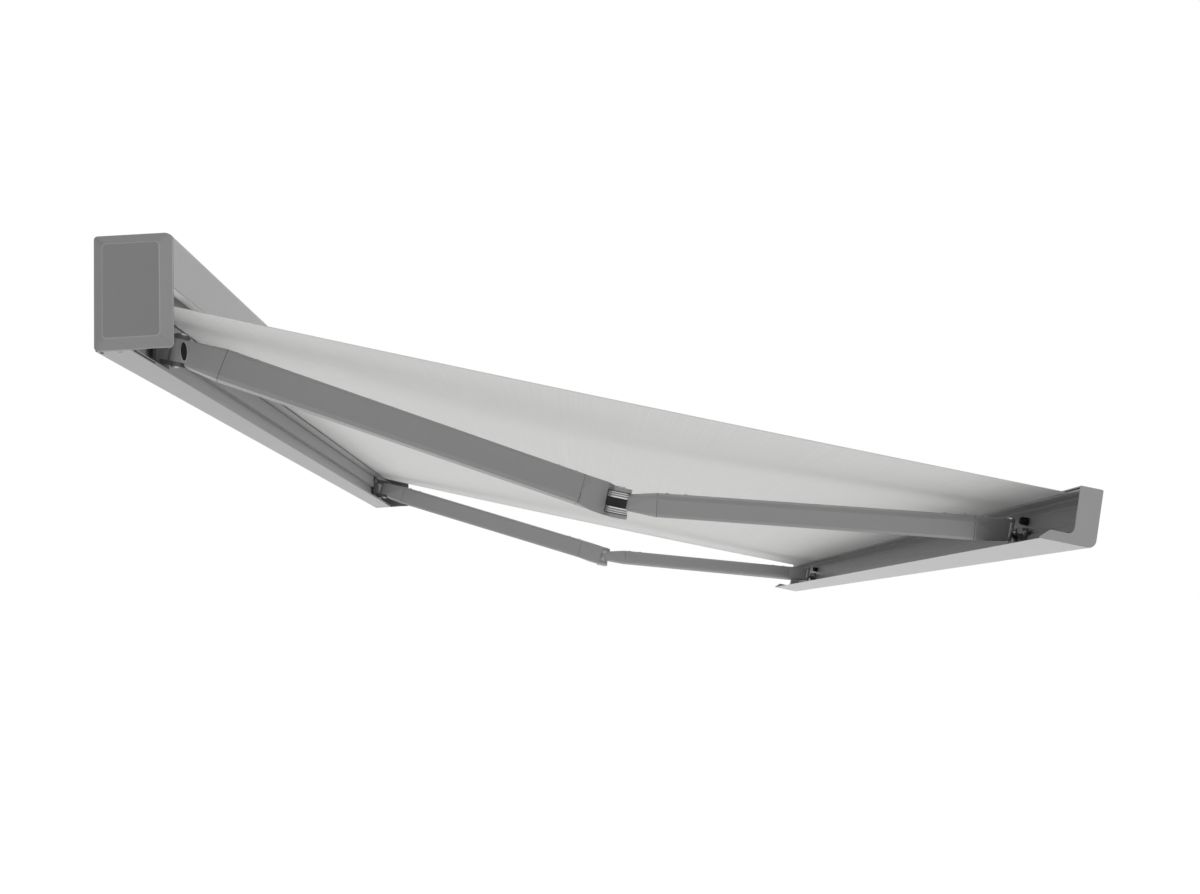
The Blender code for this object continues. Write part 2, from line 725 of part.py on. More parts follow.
def drum_profile():
    """Half outline of the elbow drum with its belt groove and fine rings."""
    groove = DRUM_RADIUS - BELT_THICKNESS - TOUCH
    wide = BELT_HALF + TOUCH
    rings = []
    for height in (wide + 0.004, wide + 0.0095):
        rings += [(DRUM_RADIUS, height), (DRUM_RADIUS - 0.0012, height + 0.0008),
                  (DRUM_RADIUS - 0.0012, height + 0.0020), (DRUM_RADIUS, height + 0.0028)]
    upper = [(groove, wide), (DRUM_RADIUS, wide)] + rings + [(DRUM_RADIUS, DRUM_HALF), (0, DRUM_HALF)]
    lower = [(radius, -height) for radius, height in reversed(upper)]
    return lower + upper


def elbow_hub():
    """Forearm casting: the belt drum and the neck that meets the tube."""
    end = tube_end(FORE_TUBE_WIDTH, FORE_TUBE_HEIGHT, -HUB_CASTING, FORE_SHIFT)
    neck_half = DRUM_HALF - NECK_DROP
    root = rod(NECK_ROOT, -neck_half, neck_half, Matrix.Translation(OUTWARD * 0.006) @ PIVOT_FRAME)
    neck = relieved(hull(end, root), EAR_RADIUS, DRUM_HALF)
    body = combine("UNION", turned(drum_profile(), PIVOT_FRAME, 32), neck)
    return bored(body, ELBOW_PIN_RADIUS)


def drum_belt():
    """Belt on the open side of the drum, where it wraps round to the spring."""
    outer = DRUM_RADIUS - TOUCH
    inner = DRUM_RADIUS - BELT_THICKNESS
    steps = 14
    start, end = (math.radians(angle) for angle in BELT_WRAP)
    angles = [start + (end - start) * step / steps for step in range(steps + 1)]
    outline = [Vector((math.cos(angle), math.sin(angle))) * outer for angle in angles]
    outline += [Vector((math.cos(angle), math.sin(angle))) * inner for angle in reversed(angles)]
    return loft([[PIVOT_FRAME @ Vector((*point, height)) for point in outline]
                 for height in (-BELT_HALF, BELT_HALF)])


def fore_tube():
    """Forearm extrusion between hub and wrist castings."""
    return arm_tube(FORE_TUBE_WIDTH, FORE_TUBE_HEIGHT, WRIST_STEP.x + WRIST_CASTING + TOUCH,
                    -HUB_CASTING - TOUCH, FORE_SHIFT)


def tension_spring():
    """Close-wound spring inside the forearm, as a turned bar with one ring for each turn."""
    start = -HUB_CASTING - TOUCH
    pitch = SPRING_LENGTH / SPRING_TURNS
    profile = [(0, 0)]
    for turn in range(SPRING_TURNS):
        profile += [(SPRING_RADIUS - SPRING_WIRE, pitch * turn),
                    (SPRING_RADIUS, pitch * (turn + 0.5))]
    profile += [(SPRING_RADIUS - SPRING_WIRE, SPRING_LENGTH), (0, SPRING_LENGTH)]
    frame = (Matrix.Translation(FORE_SHIFT + Vector((start, 0, 0)))
             @ Matrix.Rotation(-math.pi / 2, 4, "Y"))
    return turned(profile, frame, 10)


def wrist_casting():
    """Clevis at the front end of the forearm."""
    outer = KNUCKLE_HALF + TOUCH + WRIST_EAR
    frame = Matrix.Translation(WRIST_STEP) @ PIVOT_FRAME
    end = tube_end(FORE_TUBE_WIDTH, FORE_TUBE_HEIGHT, WRIST_STEP.x + WRIST_CASTING - STUB, FORE_SHIFT)
    body = hull(end, rod(KNUCKLE_RADIUS, -outer, outer, frame))
    radius = KNUCKLE_RADIUS + TURN_GAP
    start = math.pi + math.asin(WRIST_SIDE / radius)
    end_angle = math.tau + math.acos(WRIST_MOUTH / radius)
    corners = [(WRIST_MOUTH, CLEAR), (-CLEAR, CLEAR), (-CLEAR, -WRIST_SIDE)]
    room = open_room(radius, KNUCKLE_HALF + TOUCH, start, end_angle, corners, frame)
    body = relieved(combine("DIFFERENCE", body, room), KNUCKLE_RADIUS, outer, frame)
    return bored(body, WRIST_PIN_RADIUS, frame)


def swivel_block():
    """Knuckle on the wrist pin, joined to the barrel of the tilt pin."""
    knuckle = rod(KNUCKLE_RADIUS, -KNUCKLE_HALF, KNUCKLE_HALF, PIVOT_FRAME)
    barrel_frame = Matrix.Translation(TILT_STEP) @ Matrix.Rotation(math.pi / 2, 4, "Y")
    barrel = rod(TILT_BARREL_RADIUS, -TILT_BARREL_HALF, TILT_BARREL_HALF, barrel_frame)
    body = combine("UNION", knuckle, barrel)
    frame = Matrix((INWARD, OUTWARD, UPRIGHT)).transposed().to_4x4()
    for side in (-1, 1):
        low, high = (side * PRONG_SPACING / 2 + step * PRONG_THICKNESS / 2 for step in (-1, 1))
        prong = block((-PRONG_HALF, PRONG_START, low),
                      (PRONG_HALF, SWIVEL_DEPTH - TILT_DEPTH, high), frame)
        body = combine("UNION", body, prong)
    return bored(bored(body, WRIST_PIN_RADIUS), TILT_PIN_RADIUS, barrel_frame)


# Front rail pieces, in the rail's own section: u from its outer face, v from its underside

def rail_shift(u, v):
    """Step from the tilt pin to a place on the open rail, as (depth, height)."""
    out = Vector((-OUTWARD.y, OUTWARD.z))
    up = Vector((-UPRIGHT.y, UPRIGHT.z))
    return out * (u + TILT_DEPTH) + up * (v - SWIVEL_HEIGHT)


def on_rail(x, u, v):
    """Point of the rail, about the middle of its tilt axis."""
    return Vector((x, -(u + TILT_DEPTH), v - SWIVEL_HEIGHT))


def rail_profile():
    """L-shaped extrusion: a leg with a fabric groove and a tee slot, and a thin foot."""
    top, back, wall = RAIL_LEG_HEIGHT, -RAIL_LEG_WIDTH, RAIL_WALL
    groove = RAIL_GROOVE_HEIGHT
    slot_face = -wall - TEE_SLOT_DEPTH
    lip_face = slot_face + 0.002
    corners = [
        (0, 0, RAIL_CORNER), (0, top, 0.003), (back, top, 0.001),
        (back, groove + 0.0078, 0), (back + 0.0022, groove + 0.0078, 0),
        (back + 0.0022, groove + 0.0092, 0), (back + 0.0105, groove + 0.0092, 0),
        (back + 0.0105, groove + 0.0026, 0), (back + 0.0022, groove + 0.0026, 0),
        (back + 0.0022, groove + 0.0045, 0), (back, groove + 0.0045, 0),
        (back, groove, 0), (back + 0.0130, groove, 0), (back + 0.0130, top - wall, 0),
        (-wall, top - wall, 0.004), (-wall, TEE_SLOT_HIGH, 0), (slot_face, TEE_SLOT_HIGH, 0),
        (slot_face, TEE_SLOT_HIGH - TEE_LIP, 0), (lip_face, TEE_SLOT_HIGH - TEE_LIP, 0),
        (lip_face, TEE_SLOT_HIGH - wall, 0), (-wall, TEE_SLOT_HIGH - wall, 0),
        (-wall, TEE_SLOT_LOW + wall, 0), (lip_face, TEE_SLOT_LOW + wall, 0),
        (lip_face, TEE_SLOT_LOW + TEE_LIP, 0), (slot_face, TEE_SLOT_LOW + TEE_LIP, 0),
        (slot_face, TEE_SLOT_LOW, 0), (-wall, TEE_SLOT_LOW, 0),
        (-wall, RAIL_FOOT_WALL, RAIL_CORNER - wall), (0.0060 - RAIL_FOOT_LENGTH, RAIL_FOOT_WALL, 0),
        (-RAIL_FOOT_LENGTH, 0, 0)]
    end = RAIL_LENGTH / 2 - RAIL_CAP - TOUCH
    return prism(fillet(corners, 3), -end, end, on_rail)


def rail_cap():
    """L-shaped end cap with a deeper foot and a slanted tip."""
    corners = [(0, 0, RAIL_CORNER + 0.002), (0, RAIL_LEG_HEIGHT - 0.002, 0),
               (-0.003, RAIL_LEG_HEIGHT, 0), (-RAIL_LEG_WIDTH, RAIL_LEG_HEIGHT, 0),
               (-RAIL_LEG_WIDTH, RAIL_CAP_FOOT, 0.014),
               (0.0200 - RAIL_FOOT_LENGTH, RAIL_CAP_FOOT, 0), (-RAIL_FOOT_LENGTH, 0.003, 0),
               (-RAIL_FOOT_LENGTH, 0, 0)]
    return prism(fillet(corners, 5), -RAIL_LENGTH / 2, -RAIL_LENGTH / 2 + RAIL_CAP, on_rail)


def rail_bracket(x, left_slack, right_slack):
    """Base clamped in the tee slot, with two lugs for the tilt pin."""
    face = -RAIL_WALL - TEE_SLOT_DEPTH - TOUCH
    high = SWIVEL_HEIGHT + TILT_BARREL_RADIUS
    body = block((-RAIL_BRACKET_WIDTH / 2 - left_slack, 0, 0),
                 (RAIL_BRACKET_WIDTH / 2 + right_slack, RAIL_BRACKET_BASE, high - TEE_SLOT_LOW),
                 Matrix.Translation(on_rail(x, face, TEE_SLOT_LOW)))
    start = TILT_BARREL_HALF + TOUCH
    for low in (-start - TILT_LUG - left_slack, start + right_slack):
        eye = prism(fillet([(-TILT_DEPTH - 0.008, SWIVEL_HEIGHT - 0.008, 0.0075),
                            (-TILT_DEPTH - 0.008, SWIVEL_HEIGHT + 0.008, 0.0075),
                            (face - 0.001, SWIVEL_HEIGHT + 0.008, 0),
                            (face - 0.001, SWIVEL_HEIGHT - 0.026, 0)], 5),
                    x + low, x + low + TILT_LUG, on_rail)
        body = combine("UNION", body, eye)
    frame = Matrix.Translation((x, 0, 0)) @ Matrix.Rotation(math.pi / 2, 4, "Y")
    return bored(body, TILT_PIN_RADIUS, frame)


def tilt_pin(x, left_slack, right_slack):
    """Headed pin along X through both lugs."""
    low = -TILT_BARREL_HALF - 2 * TOUCH - TILT_LUG - left_slack
    high = TILT_BARREL_HALF + 2 * TOUCH + TILT_LUG + right_slack
    frame = Matrix.Translation((x, 0, 0)) @ Matrix.Rotation(math.pi / 2, 4, "Y")
    return headed_pin(TILT_PIN_RADIUS, low, high, frame)


def rail_buffer(x):
    """Rubber stop on the rail's inner face that meets the folded arm."""
    frame = (Matrix.Translation(on_rail(x, -RAIL_WALL - TOUCH, BUFFER_HEIGHT))
             @ Matrix.Rotation(-math.pi / 2, 4, "X"))
    profile = [(0, 0), (BUFFER_RADIUS, 0), (BUFFER_RADIUS, BUFFER_LENGTH * 0.8),
               (BUFFER_RADIUS * 0.7, BUFFER_LENGTH), (0, BUFFER_LENGTH)]
    return turned(profile, frame, 20)


def hem_rod():
    """Round rod that holds the fabric's hem in the rail's groove."""
    centre = on_rail(0, 0.0064 - RAIL_LEG_WIDTH, RAIL_GROOVE_HEIGHT + 0.0059)
    frame = Matrix.Translation(centre) @ Matrix.Rotation(math.pi / 2, 4, "Y")
    end = FABRIC_WIDTH / 2
    return rod(HEM_ROD_RADIUS, -end, end, frame, 12)


# Assembly

def build_cassette():
    make("cassette_back", back_profile(), "cassette_paint")
    make("cassette_visor", visor_profile(), "cassette_paint")
    make("bottom_strip", bottom_strip(), "cassette_paint")
    make("bay_liner", bay_liner(), "cassette_paint")
    make("carrier_rail", carrier_rail(), "cassette_paint")
    make("fabric_deflector", fabric_deflector(), "cassette_paint")
    for side, right in (("left", False), ("right", True)):
        make(f"{side}_end_cap", end_cap(), "cassette_paint", mirrored=right)
        make(f"{side}_end_plate", end_plate(), "dark_casting", mirrored=right)
    for label, x in (("left", -BRACKET_SPACING), ("middle", 0.0), ("right", BRACKET_SPACING)):
        make(f"{label}_wall_bracket", wall_bracket(x), "dark_casting")


def build_roller():
    make("roller_tube", roller_tube(), "bare_metal")
    make("fabric_roll", fabric_roll(), "canvas")
    make("drive_wheel", drive_wheel(), "dark_casting")
    make("idler_plug", idler_plug(), "dark_casting")
    make("motor", motor(), "dark_casting")
    make("idler_pin", idler_pin(), "bare_metal")
    make("canopy", canopy(), "canvas")


def build_arm(side, right):
    """One folding arm; returns the empty of its swivel block."""
    place = mirrored_point(SHOULDER, right)
    fixed = pivot(f"{side}_shoulder_seat", place)
    make(f"{side}_shoulder_bracket", shoulder_bracket(), "dark_casting", fixed, right)
    pin_half = EYE_HALF + TOUCH + LUG_THICKNESS + TOUCH
    make(f"{side}_shoulder_pin", headed_pin(SHOULDER_PIN_RADIUS, -pin_half, pin_half),
         "bare_metal", fixed, right)

    upper = pivot(f"{side}_shoulder_pivot", place, mirrored_turn(-SHOULDER_TURN, right))
    make(f"{side}_shoulder_casting", shoulder_casting(), "arm_paint", upper, right)
    make(f"{side}_upper_tube", upper_tube(), "arm_paint", upper, right)
    make(f"{side}_elbow_fork", elbow_fork(), "arm_paint", upper, right)
    pin_half = DRUM_HALF + TOUCH + EAR_THICKNESS + TOUCH
    pin = headed_pin(ELBOW_PIN_RADIUS, -pin_half, pin_half)
    pin.transform(Matrix.Translation(ELBOW_STEP))
    make(f"{side}_elbow_pin", pin, "bare_metal", upper, right)

    fore = pivot(f"{side}_elbow_pivot", mirrored_point(ELBOW_STEP, right),
                 mirrored_turn(SHOULDER_TURN + WRIST_TURN, right), upper)
    make(f"{side}_elbow_hub", elbow_hub(), "arm_paint", fore, right)
    make(f"{side}_drum_belt", drum_belt(), "black_rubber", fore, right)
    make(f"{side}_fore_tube", fore_tube(), "arm_paint", fore, right)
    make(f"{side}_tension_spring", tension_spring(), "bare_metal", fore, right)
    make(f"{side}_wrist_casting", wrist_casting(), "arm_paint", fore, right)
    pin_half = KNUCKLE_HALF + TOUCH + WRIST_EAR + TOUCH
    pin = headed_pin(WRIST_PIN_RADIUS, -pin_half, pin_half)
    pin.transform(Matrix.Translation(WRIST_STEP))
    make(f"{side}_wrist_pin", pin, "bare_metal", fore, right)

    swivel = pivot(f"{side}_wrist_pivot", mirrored_point(WRIST_STEP, right),
                   mirrored_turn(-WRIST_TURN, right), fore)
    make(f"{side}_swivel_block", swivel_block(), "bare_metal", swivel, right)


def build_rail():
    tilt = pivot("rail_tilt_pivot", (0, TILT_OPEN.y, TILT_OPEN.z),
                 Quaternion(Vector((1, 0, 0)), math.radians(SLOPE)))
    make("front_rail", rail_profile(), "cassette_paint", tilt)
    make("hem_rod", hem_rod(), "canvas", tilt)
    for side, right in (("left", False), ("right", True)):
        x = -TILT_OPEN.x if right else TILT_OPEN.x
        slack = LINKAGE_SLACK if right else 0.0
        make(f"{side}_rail_cap", rail_cap(), "cassette_paint", tilt, right)
        make(f"{side}_rail_bracket", rail_bracket(x, slack, 0.0), "dark_casting", tilt)
        make(f"{side}_tilt_pin", tilt_pin(x, slack, 0.0), "bare_metal", tilt)
        make(f"{side}_rail_buffer", rail_buffer(x), "black_rubber", tilt)


def main():
    for item in list(bpy.data.objects):
        bpy.data.objects.remove(item)
    build_cassette()
    build_roller()
    for side, right in (("left", False), ("right", True)):
        build_arm(side, right)
    build_rail()


main()
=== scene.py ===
"""Looks of the folding-arm awning: finishes, fabric, fasteners and stage."""
import json
import math

import bmesh
import bpy
from bpy.props import FloatProperty, FloatVectorProperty, IntProperty, PointerProperty
from bpy.types import Operator, Panel, PropertyGroup
from mathutils import Matrix, Vector


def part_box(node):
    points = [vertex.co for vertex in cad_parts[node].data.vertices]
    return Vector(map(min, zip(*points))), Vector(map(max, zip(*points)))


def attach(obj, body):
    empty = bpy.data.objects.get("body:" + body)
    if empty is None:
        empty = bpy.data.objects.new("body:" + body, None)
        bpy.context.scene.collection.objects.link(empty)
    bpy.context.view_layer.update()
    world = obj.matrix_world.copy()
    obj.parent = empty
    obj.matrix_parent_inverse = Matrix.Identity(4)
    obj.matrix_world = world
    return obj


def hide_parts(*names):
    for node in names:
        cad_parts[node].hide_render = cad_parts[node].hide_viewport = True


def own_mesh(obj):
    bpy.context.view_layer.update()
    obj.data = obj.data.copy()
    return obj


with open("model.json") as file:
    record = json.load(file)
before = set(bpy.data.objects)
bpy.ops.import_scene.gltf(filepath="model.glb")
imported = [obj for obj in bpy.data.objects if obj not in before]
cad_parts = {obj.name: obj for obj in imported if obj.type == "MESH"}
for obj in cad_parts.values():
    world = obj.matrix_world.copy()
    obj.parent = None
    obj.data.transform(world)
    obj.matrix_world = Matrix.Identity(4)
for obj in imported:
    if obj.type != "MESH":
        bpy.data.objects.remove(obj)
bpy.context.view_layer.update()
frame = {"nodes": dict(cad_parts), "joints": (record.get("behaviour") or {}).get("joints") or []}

bl_info = {
    "name": "Folding-arm awning",
    "version": (1, 0, 0),
    "blender": (4, 5, 0),
    "location": "3D View > Sidebar > Awning",
    "description": "Finishes, fabric, fasteners and stage of a cassette awning",
    "category": "Object",
}

SIDES = ("left", "right")
ARM_TUBES = (("upper_tube", "upper_arm"), ("fore_tube", "forearm"))
JOINTS = {joint["name"]: joint for joint in frame["joints"]}
TAU = math.tau
SMOOTH_ANGLE = math.radians(32.0)
MERGE_DISTANCE = 1e-7
SAME_PLANE = 1e-5
REFINEMENTS = 3

# Fall of the arms and the front rail, away from the wall
SLOPE = math.radians(15.15)

# Sheet: its grid, the step and the layers of its hems, and the soft waves across it
CLOTH_COLUMNS = 72
CLOTH_ROWS = 64
HEM_STEP = 0.0006
HEM_LAYERS = 2.2
SHORT_WAVE = 0.47
SHORT_WAVE_PHASE = 0.6
LONG_WAVE = 0.83
LONG_WAVE_SHARE = 0.6
LONG_WAVE_DRIFT = 3.1

# Gap at which the sheet leaves the roll, and where it ends before the rod's middle, in rod diameters
ROLL_GAP = 0.0016
ROD_SHORTFALL = 0.55

# Turns on the roller: each turn's edge as shares of its thickness and distances back from the end
ROLL_SEGMENTS = 96
ROLL_TUBE_GAP = 0.0003
ROLL_SWELL = 0.0010
TURN_EDGE = ((0.12, 0.0012), (0.3, 0.0), (0.75, 0.0), (0.92, 0.0012))

# Streaks of the weave per metre: along the warp, along the weft, and broad clouds
WARP_STREAKS = (420.0, 1.1, 1.0)
WEFT_STREAKS = (0.9, 360.0, 1.0)
BROAD_CLOUDS = (1.6, 0.8, 1.0)

# Rivets, bolts and their seats; a profile holds shares of the radius and of the height
SUNK = 0.0001
RIVET_SEGMENTS = 20
WASHER_SEGMENTS = 24
HEXAGON_SIDES = 6
RIVET_PLACES = (0.022, 0.070)
RIVET_RADIUS = 0.0042
RIVET_HEIGHT = 0.0022
RIVET_PROFILE = ((1.0, 0.0), (1.0, 0.35), (0.82, 0.8), (0.52, 1.0))
WASHER_PROFILE = ((1.5, 0.0), (1.5, 0.22))
HEXAGON_PROFILE = ((1.0, 0.25), (1.0, 0.9), (0.86, 1.0))
RAIL_BOLT_SEAT = 0.0041
RAIL_BOLT_INSET = 0.009
RAIL_BOLT_HEIGHTS = (0.25, 0.75)
RAIL_BOLT_RADIUS = 0.0042
RAIL_BOLT_HEIGHT = 0.0036
SHOULDER_PLATE_EDGE = 0.0005
SHOULDER_BOLT_INSET = 0.013
SHOULDER_BOLT_DROP = 0.016
SHOULDER_BOLT_RADIUS = 0.0060
SHOULDER_BOLT_HEIGHT = 0.0055

# Seals between the arm tubes and their castings, and how a tube's outer corners are told apart
SEAL_WIDTH = 0.0011
SEAL_GAP = 0.0003
SEAL_RISE = 0.00012
SEAL_DEPTH = 0.0012
OUTLINE_STEP = 0.1
OUTLINE_SHARE = 0.40

# Painted highlights under the visor's lip: a thin pale strip for the lip's lit edge and a taller one behind
# it for the flange's lit edge
STRIP_THICKNESS = 0.0005
LIP_FRONT_GAP = 0.0010
LIP_WIDTH = 0.0128
FLANGE_HIGHLIGHT_GAP = 0.0014
FLANGE_HIGHLIGHT_WIDTH = 0.0030
FLANGE_HIGHLIGHT_HEIGHT = 0.0080

# Openings of the underside: insets from its ends and depths from the wall
INLAY = 0.0003
OVAL_SEGMENTS = 24
OVAL_INSET = 0.012
OVAL_DEPTH = 0.0177
OVAL_SIZE = (0.0065, 0.0042)
NOTCH_INSET = 0.013
NOTCH_WIDTH = 0.0030
NOTCH_DEPTHS = (0.0605, 0.0530)

# Slot and vents of the underside's lip: insets from its ends, depths and heights from the lip's edge
LIP_SLOT_INSETS = (0.022, 0.150)
LIP_SLOT_HEIGHTS = (0.0024, 0.0056)
VENTS = 3
VENT_INSET = 0.072
VENT_PITCH = 0.026
VENT_WIDTH = 0.010
VENT_DEPTHS = (0.004, 0.011)
VENT_HEIGHTS = (0.0046, 0.0090)

# Pale ribs on the inside of the front rail, painted highlights of the lit edges of its groove, as heights
# over its underside
RAIL_WALL = 0.0025
RIB_HEIGHTS = (0.0660, 0.0715, 0.1040)
RIB = 0.0010

# Pale edge round the panel of each end cap, a painted highlight of the panel's rounded outline
EDGE_WIDTH = 0.0016

# Recess of the right shoulder's casting, which the left one mirrors
RECESS_PLACE = Vector((1.5120, -0.1180, -0.0770))
RECESS_NORMAL = Vector((0.98, -0.13, -0.17))
RECESS_ALONG = Vector((0.167, -0.022, 0.971))
RECESS_SIZE = (0.022, 0.007)
RECESS_RISE = 0.0010
RECESS_DEPTH = 0.0015
RIM_WIDTH = 0.0018
RIM_RISE = 0.0007
RECESS_SEGMENTS = 32

# Drum of the elbow: radius, and the heights of its bright lands and black seals
DRUM_RADIUS = 0.0290
DRUM_LANDS = ((0.0121, 0.0155), (0.0189, 0.0210), (0.0244, 0.0266))
DRUM_SEALS = ((0.0267, 0.0285),)
BAND_RISE = 0.00035
BAND_DEPTH = 0.0010
BAND_EASE = 0.0003
BAND_SEGMENTS = 72

# Floor, and each lamp's direction and apparent width in degrees
FLOOR_CENTRE = (0.0, -1.0)
FLOOR_RADIUS = 60.0
FLOOR_SEGMENTS = 64
LAMPS = (("below", (-0.22, 0.08, 1.0), 130.0),
         ("front", (0.05, 1.0, -0.1), 50.0),
         ("above", (-0.1, 0.35, -1.0), 40.0))

# Camera, fitted to the photograph: a 36 mm lens over a 36 mm wide sensor
CAMERA_PLACE = Vector((-4.2785, -1.0140, -0.7646))
CAMERA_YAW = 0.0232
CAMERA_PITCH = 0.1444
CAMERA_ROLL = -0.0635
SENSOR = 36.0


class AwningCloth(PropertyGroup):
    """Sizes and colours of the fabric."""
    colour: FloatVectorProperty(name="Colour", description="Colour of the yarn", subtype="COLOR",
                                size=3, min=0, max=1, default=(0.87, 0.87, 0.86))
    thickness: FloatProperty(name="Thickness", description="Thickness of one layer", unit="LENGTH",
                             default=0.0008, min=0.0003, max=0.002)
    hem: FloatProperty(name="Side hem", description="Width of the folded side hem", unit="LENGTH",
                       default=0.018, min=0.005, max=0.05)
    sag: FloatProperty(name="Sag", description="Drop of the taut sheet at mid span", unit="LENGTH",
                       default=0.005, min=0, max=0.03)
    ripple: FloatProperty(name="Ripple", description="Height of the soft waves along the span",
                          unit="LENGTH", default=0.0012, min=0, max=0.01)
    thread: FloatProperty(name="Thread pitch", description="Distance between threads",
                          unit="LENGTH", default=0.0011, min=0.0003, max=0.005)
    turns: IntProperty(name="Turns on the roller", description="Turns of fabric left on the roller",
                       default=9, min=2, max=30)


class AwningMetal(PropertyGroup):
    """Colours of the painted and bare metal."""
    cassette: FloatVectorProperty(name="Cassette", description="Powder coat of cassette and rail",
                                  subtype="COLOR", size=3, min=0, max=1, default=(0.40, 0.40, 0.40))
    arm: FloatVectorProperty(name="Arms", description="Powder coat of the arm tubes",
                             subtype="COLOR", size=3, min=0, max=1, default=(0.40, 0.40, 0.405))
    casting: FloatVectorProperty(name="Castings", description="Coat of the arm castings",
                                 subtype="COLOR", size=3, min=0, max=1, default=(0.41, 0.41, 0.415))
    # The cap colour also paints the highlights of the front rail's ribs and of the end caps' panel edges
    cap: FloatVectorProperty(name="Rail caps", description="Paler coat of rail caps and edges",
                             subtype="COLOR", size=3, min=0, max=1, default=(0.60, 0.60, 0.60))
    bay: FloatVectorProperty(name="Arm bay", description="Paler coat inside the arm bay",
                             subtype="COLOR", size=3, min=0, max=1, default=(0.52, 0.52, 0.52))
    bare: FloatVectorProperty(name="Bare metal", description="Pins, springs, swivels and bolts",
                              subtype="COLOR", size=3, min=0, max=1, default=(0.62, 0.62, 0.62))
    dark: FloatVectorProperty(name="Dark metal", description="Brackets, end plates and motor",
                              subtype="COLOR", size=3, min=0, max=1, default=(0.13, 0.13, 0.132))
    # The trim colour is the hem rod's own colour, and it also paints the highlight strips under the visor's
    # lip
    trim: FloatVectorProperty(name="Trim", description="Weather strip and hem rod",
                              subtype="COLOR", size=3, min=0, max=1, default=(0.92, 0.92, 0.92))
    # The rubber colour is the belts' and seals' own colour, and it also paints the shade inside the
    # underside's openings and the shoulder recesses
    rubber: FloatVectorProperty(name="Rubber", description="Belts, buffers, seals and dark openings",
                                subtype="COLOR", size=3, min=0, max=1, default=(0.018, 0.018, 0.018))


class AwningStage(PropertyGroup):
    """Floor and light."""
    floor_level: FloatProperty(name="Floor level", description="Height of the floor",
                               subtype="DISTANCE", unit="LENGTH", default=-2.6)
    floor: FloatVectorProperty(name="Floor", description="Colour of the floor", subtype="COLOR",
                               size=3, min=0, max=1, default=(0.85, 0.85, 0.85))
    ambient: FloatProperty(name="Ambient light", description="Light from all round",
                           default=0.22, min=0, max=2)
    from_below: FloatProperty(name="Light from below", description="Lamp that points up",
                              default=2.9, min=0, max=20)
    from_front: FloatProperty(name="Light from the front", description="Lamp that faces the visor",
                              default=0.80, min=0, max=20)
    from_above: FloatProperty(name="Light from above", description="Lamp that points down",
                              default=0.9, min=0, max=20)
    floor_glow: FloatProperty(name="Floor glow", description="Light added where the floor is seen",
                              default=0.58, min=0, max=2)


# Mesh helpers

def ring(count, radius, height):
    """Points of a circle about Z."""
    return [Vector((radius * math.cos(TAU * step / count),
                    radius * math.sin(TAU * step / count), height))
            for step in range(count)]


def skin(mesh, rings, place=Matrix(), capped=True):
    """Join rings of equal count, with a cap at both ends or with none."""
    made = [[mesh.verts.new(place @ point) for point in points] for points in rings]
    for low, high in zip(made, made[1:]):
        for index in range(len(low)):
            following = (index + 1) % len(low)
            mesh.faces.new((low[index], low[following], high[following], high[index]))
    if capped:
        mesh.faces.new(made[0][::-1])
        mesh.faces.new(made[-1])


def band(mesh, rings, place=Matrix()):
    """Join rings of equal count, and the last one to the first."""
    skin(mesh, rings + rings[:1], place, capped=False)
    bmesh.ops.remove_doubles(mesh, verts=mesh.verts, dist=MERGE_DISTANCE)


def turned(mesh, place, count, profile, radius, height):
    """Body about Z whose profile holds shares of the radius and of the height."""
    skin(mesh, [ring(count, radius * out, height * up) for out, up in profile], place)


def piece(name, mesh, material, body):
    """Turn a mesh into a piece that rides on a body."""
    bmesh.ops.recalc_face_normals(mesh, faces=mesh.faces)
    data = bpy.data.meshes.new(name)
    mesh.to_mesh(data)
    mesh.free()
    data.materials.append(material)
    data.shade_smooth()
    data.set_sharp_from_angle(angle=SMOOTH_ANGLE)
    made = bpy.data.objects.new(name, data)
    bpy.context.scene.collection.objects.link(made)
    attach(made, body)
    return made


def facing(point, normal, across=Vector((1, 0, 0))):
    """Frame at a point with Z along the normal and X near the across direction."""
    z = normal.normalized()
    y = z.cross(across).normalized()
    return Matrix.Translation(point) @ Matrix((y.cross(z), y, z)).transposed().to_4x4()


def corners(node):
    """World corners of a node's mesh at rest."""
    return [vertex.co.copy() for vertex in frame["nodes"][node].data.vertices]


def tube_ends(node):
    """Both ends of a straight tube as (middle, direction away from the tube, points of the end).

    The direction is first taken between the farthest points, then refined between the ends' middles.
    """
    points = corners(node)
    start = max(points, key=lambda point: (point - points[0]).length)
    along = (max(points, key=lambda point: (point - start).length) - start).normalized()
    for _ in range(REFINEMENTS):
        reach = [point.dot(along) for point in points]
        middle = (min(reach) + max(reach)) / 2
        far = [point for point, at in zip(points, reach) if at > middle]
        near = [point for point, at in zip(points, reach) if at <= middle]
        far_centre = sum(far, Vector()) / len(far)
        near_centre = sum(near, Vector()) / len(near)
        along = (far_centre - near_centre).normalized()
    return (near_centre, -along, near), (far_centre, along, far)


# Material helpers

def group(name, inputs, outputs, build):
    """Shader node group of that name, built once."""
    tree = bpy.data.node_groups.get(name)
    if tree:
        return tree
    tree = bpy.data.node_groups.new(name, "ShaderNodeTree")
    for label, default in inputs:
        kind = "NodeSocketVector" if label in ("Place", "Stretch") else "NodeSocketFloat"
        socket = tree.interface.new_socket(label, in_out="INPUT", socket_type=kind)
        if default is not None:
            socket.default_value = default
    for label in outputs:
        tree.interface.new_socket(label, in_out="OUTPUT", socket_type="NodeSocketFloat")
    build(tree, tree.nodes.new("NodeGroupInput").outputs, tree.nodes.new("NodeGroupOutput").inputs)
    return tree


def put(tree, socket, value):
    """Link another node's output to an input, or write a plain value there."""
    if isinstance(value, bpy.types.NodeSocket):
        tree.links.new(value, socket)
    else:
        socket.default_value = value


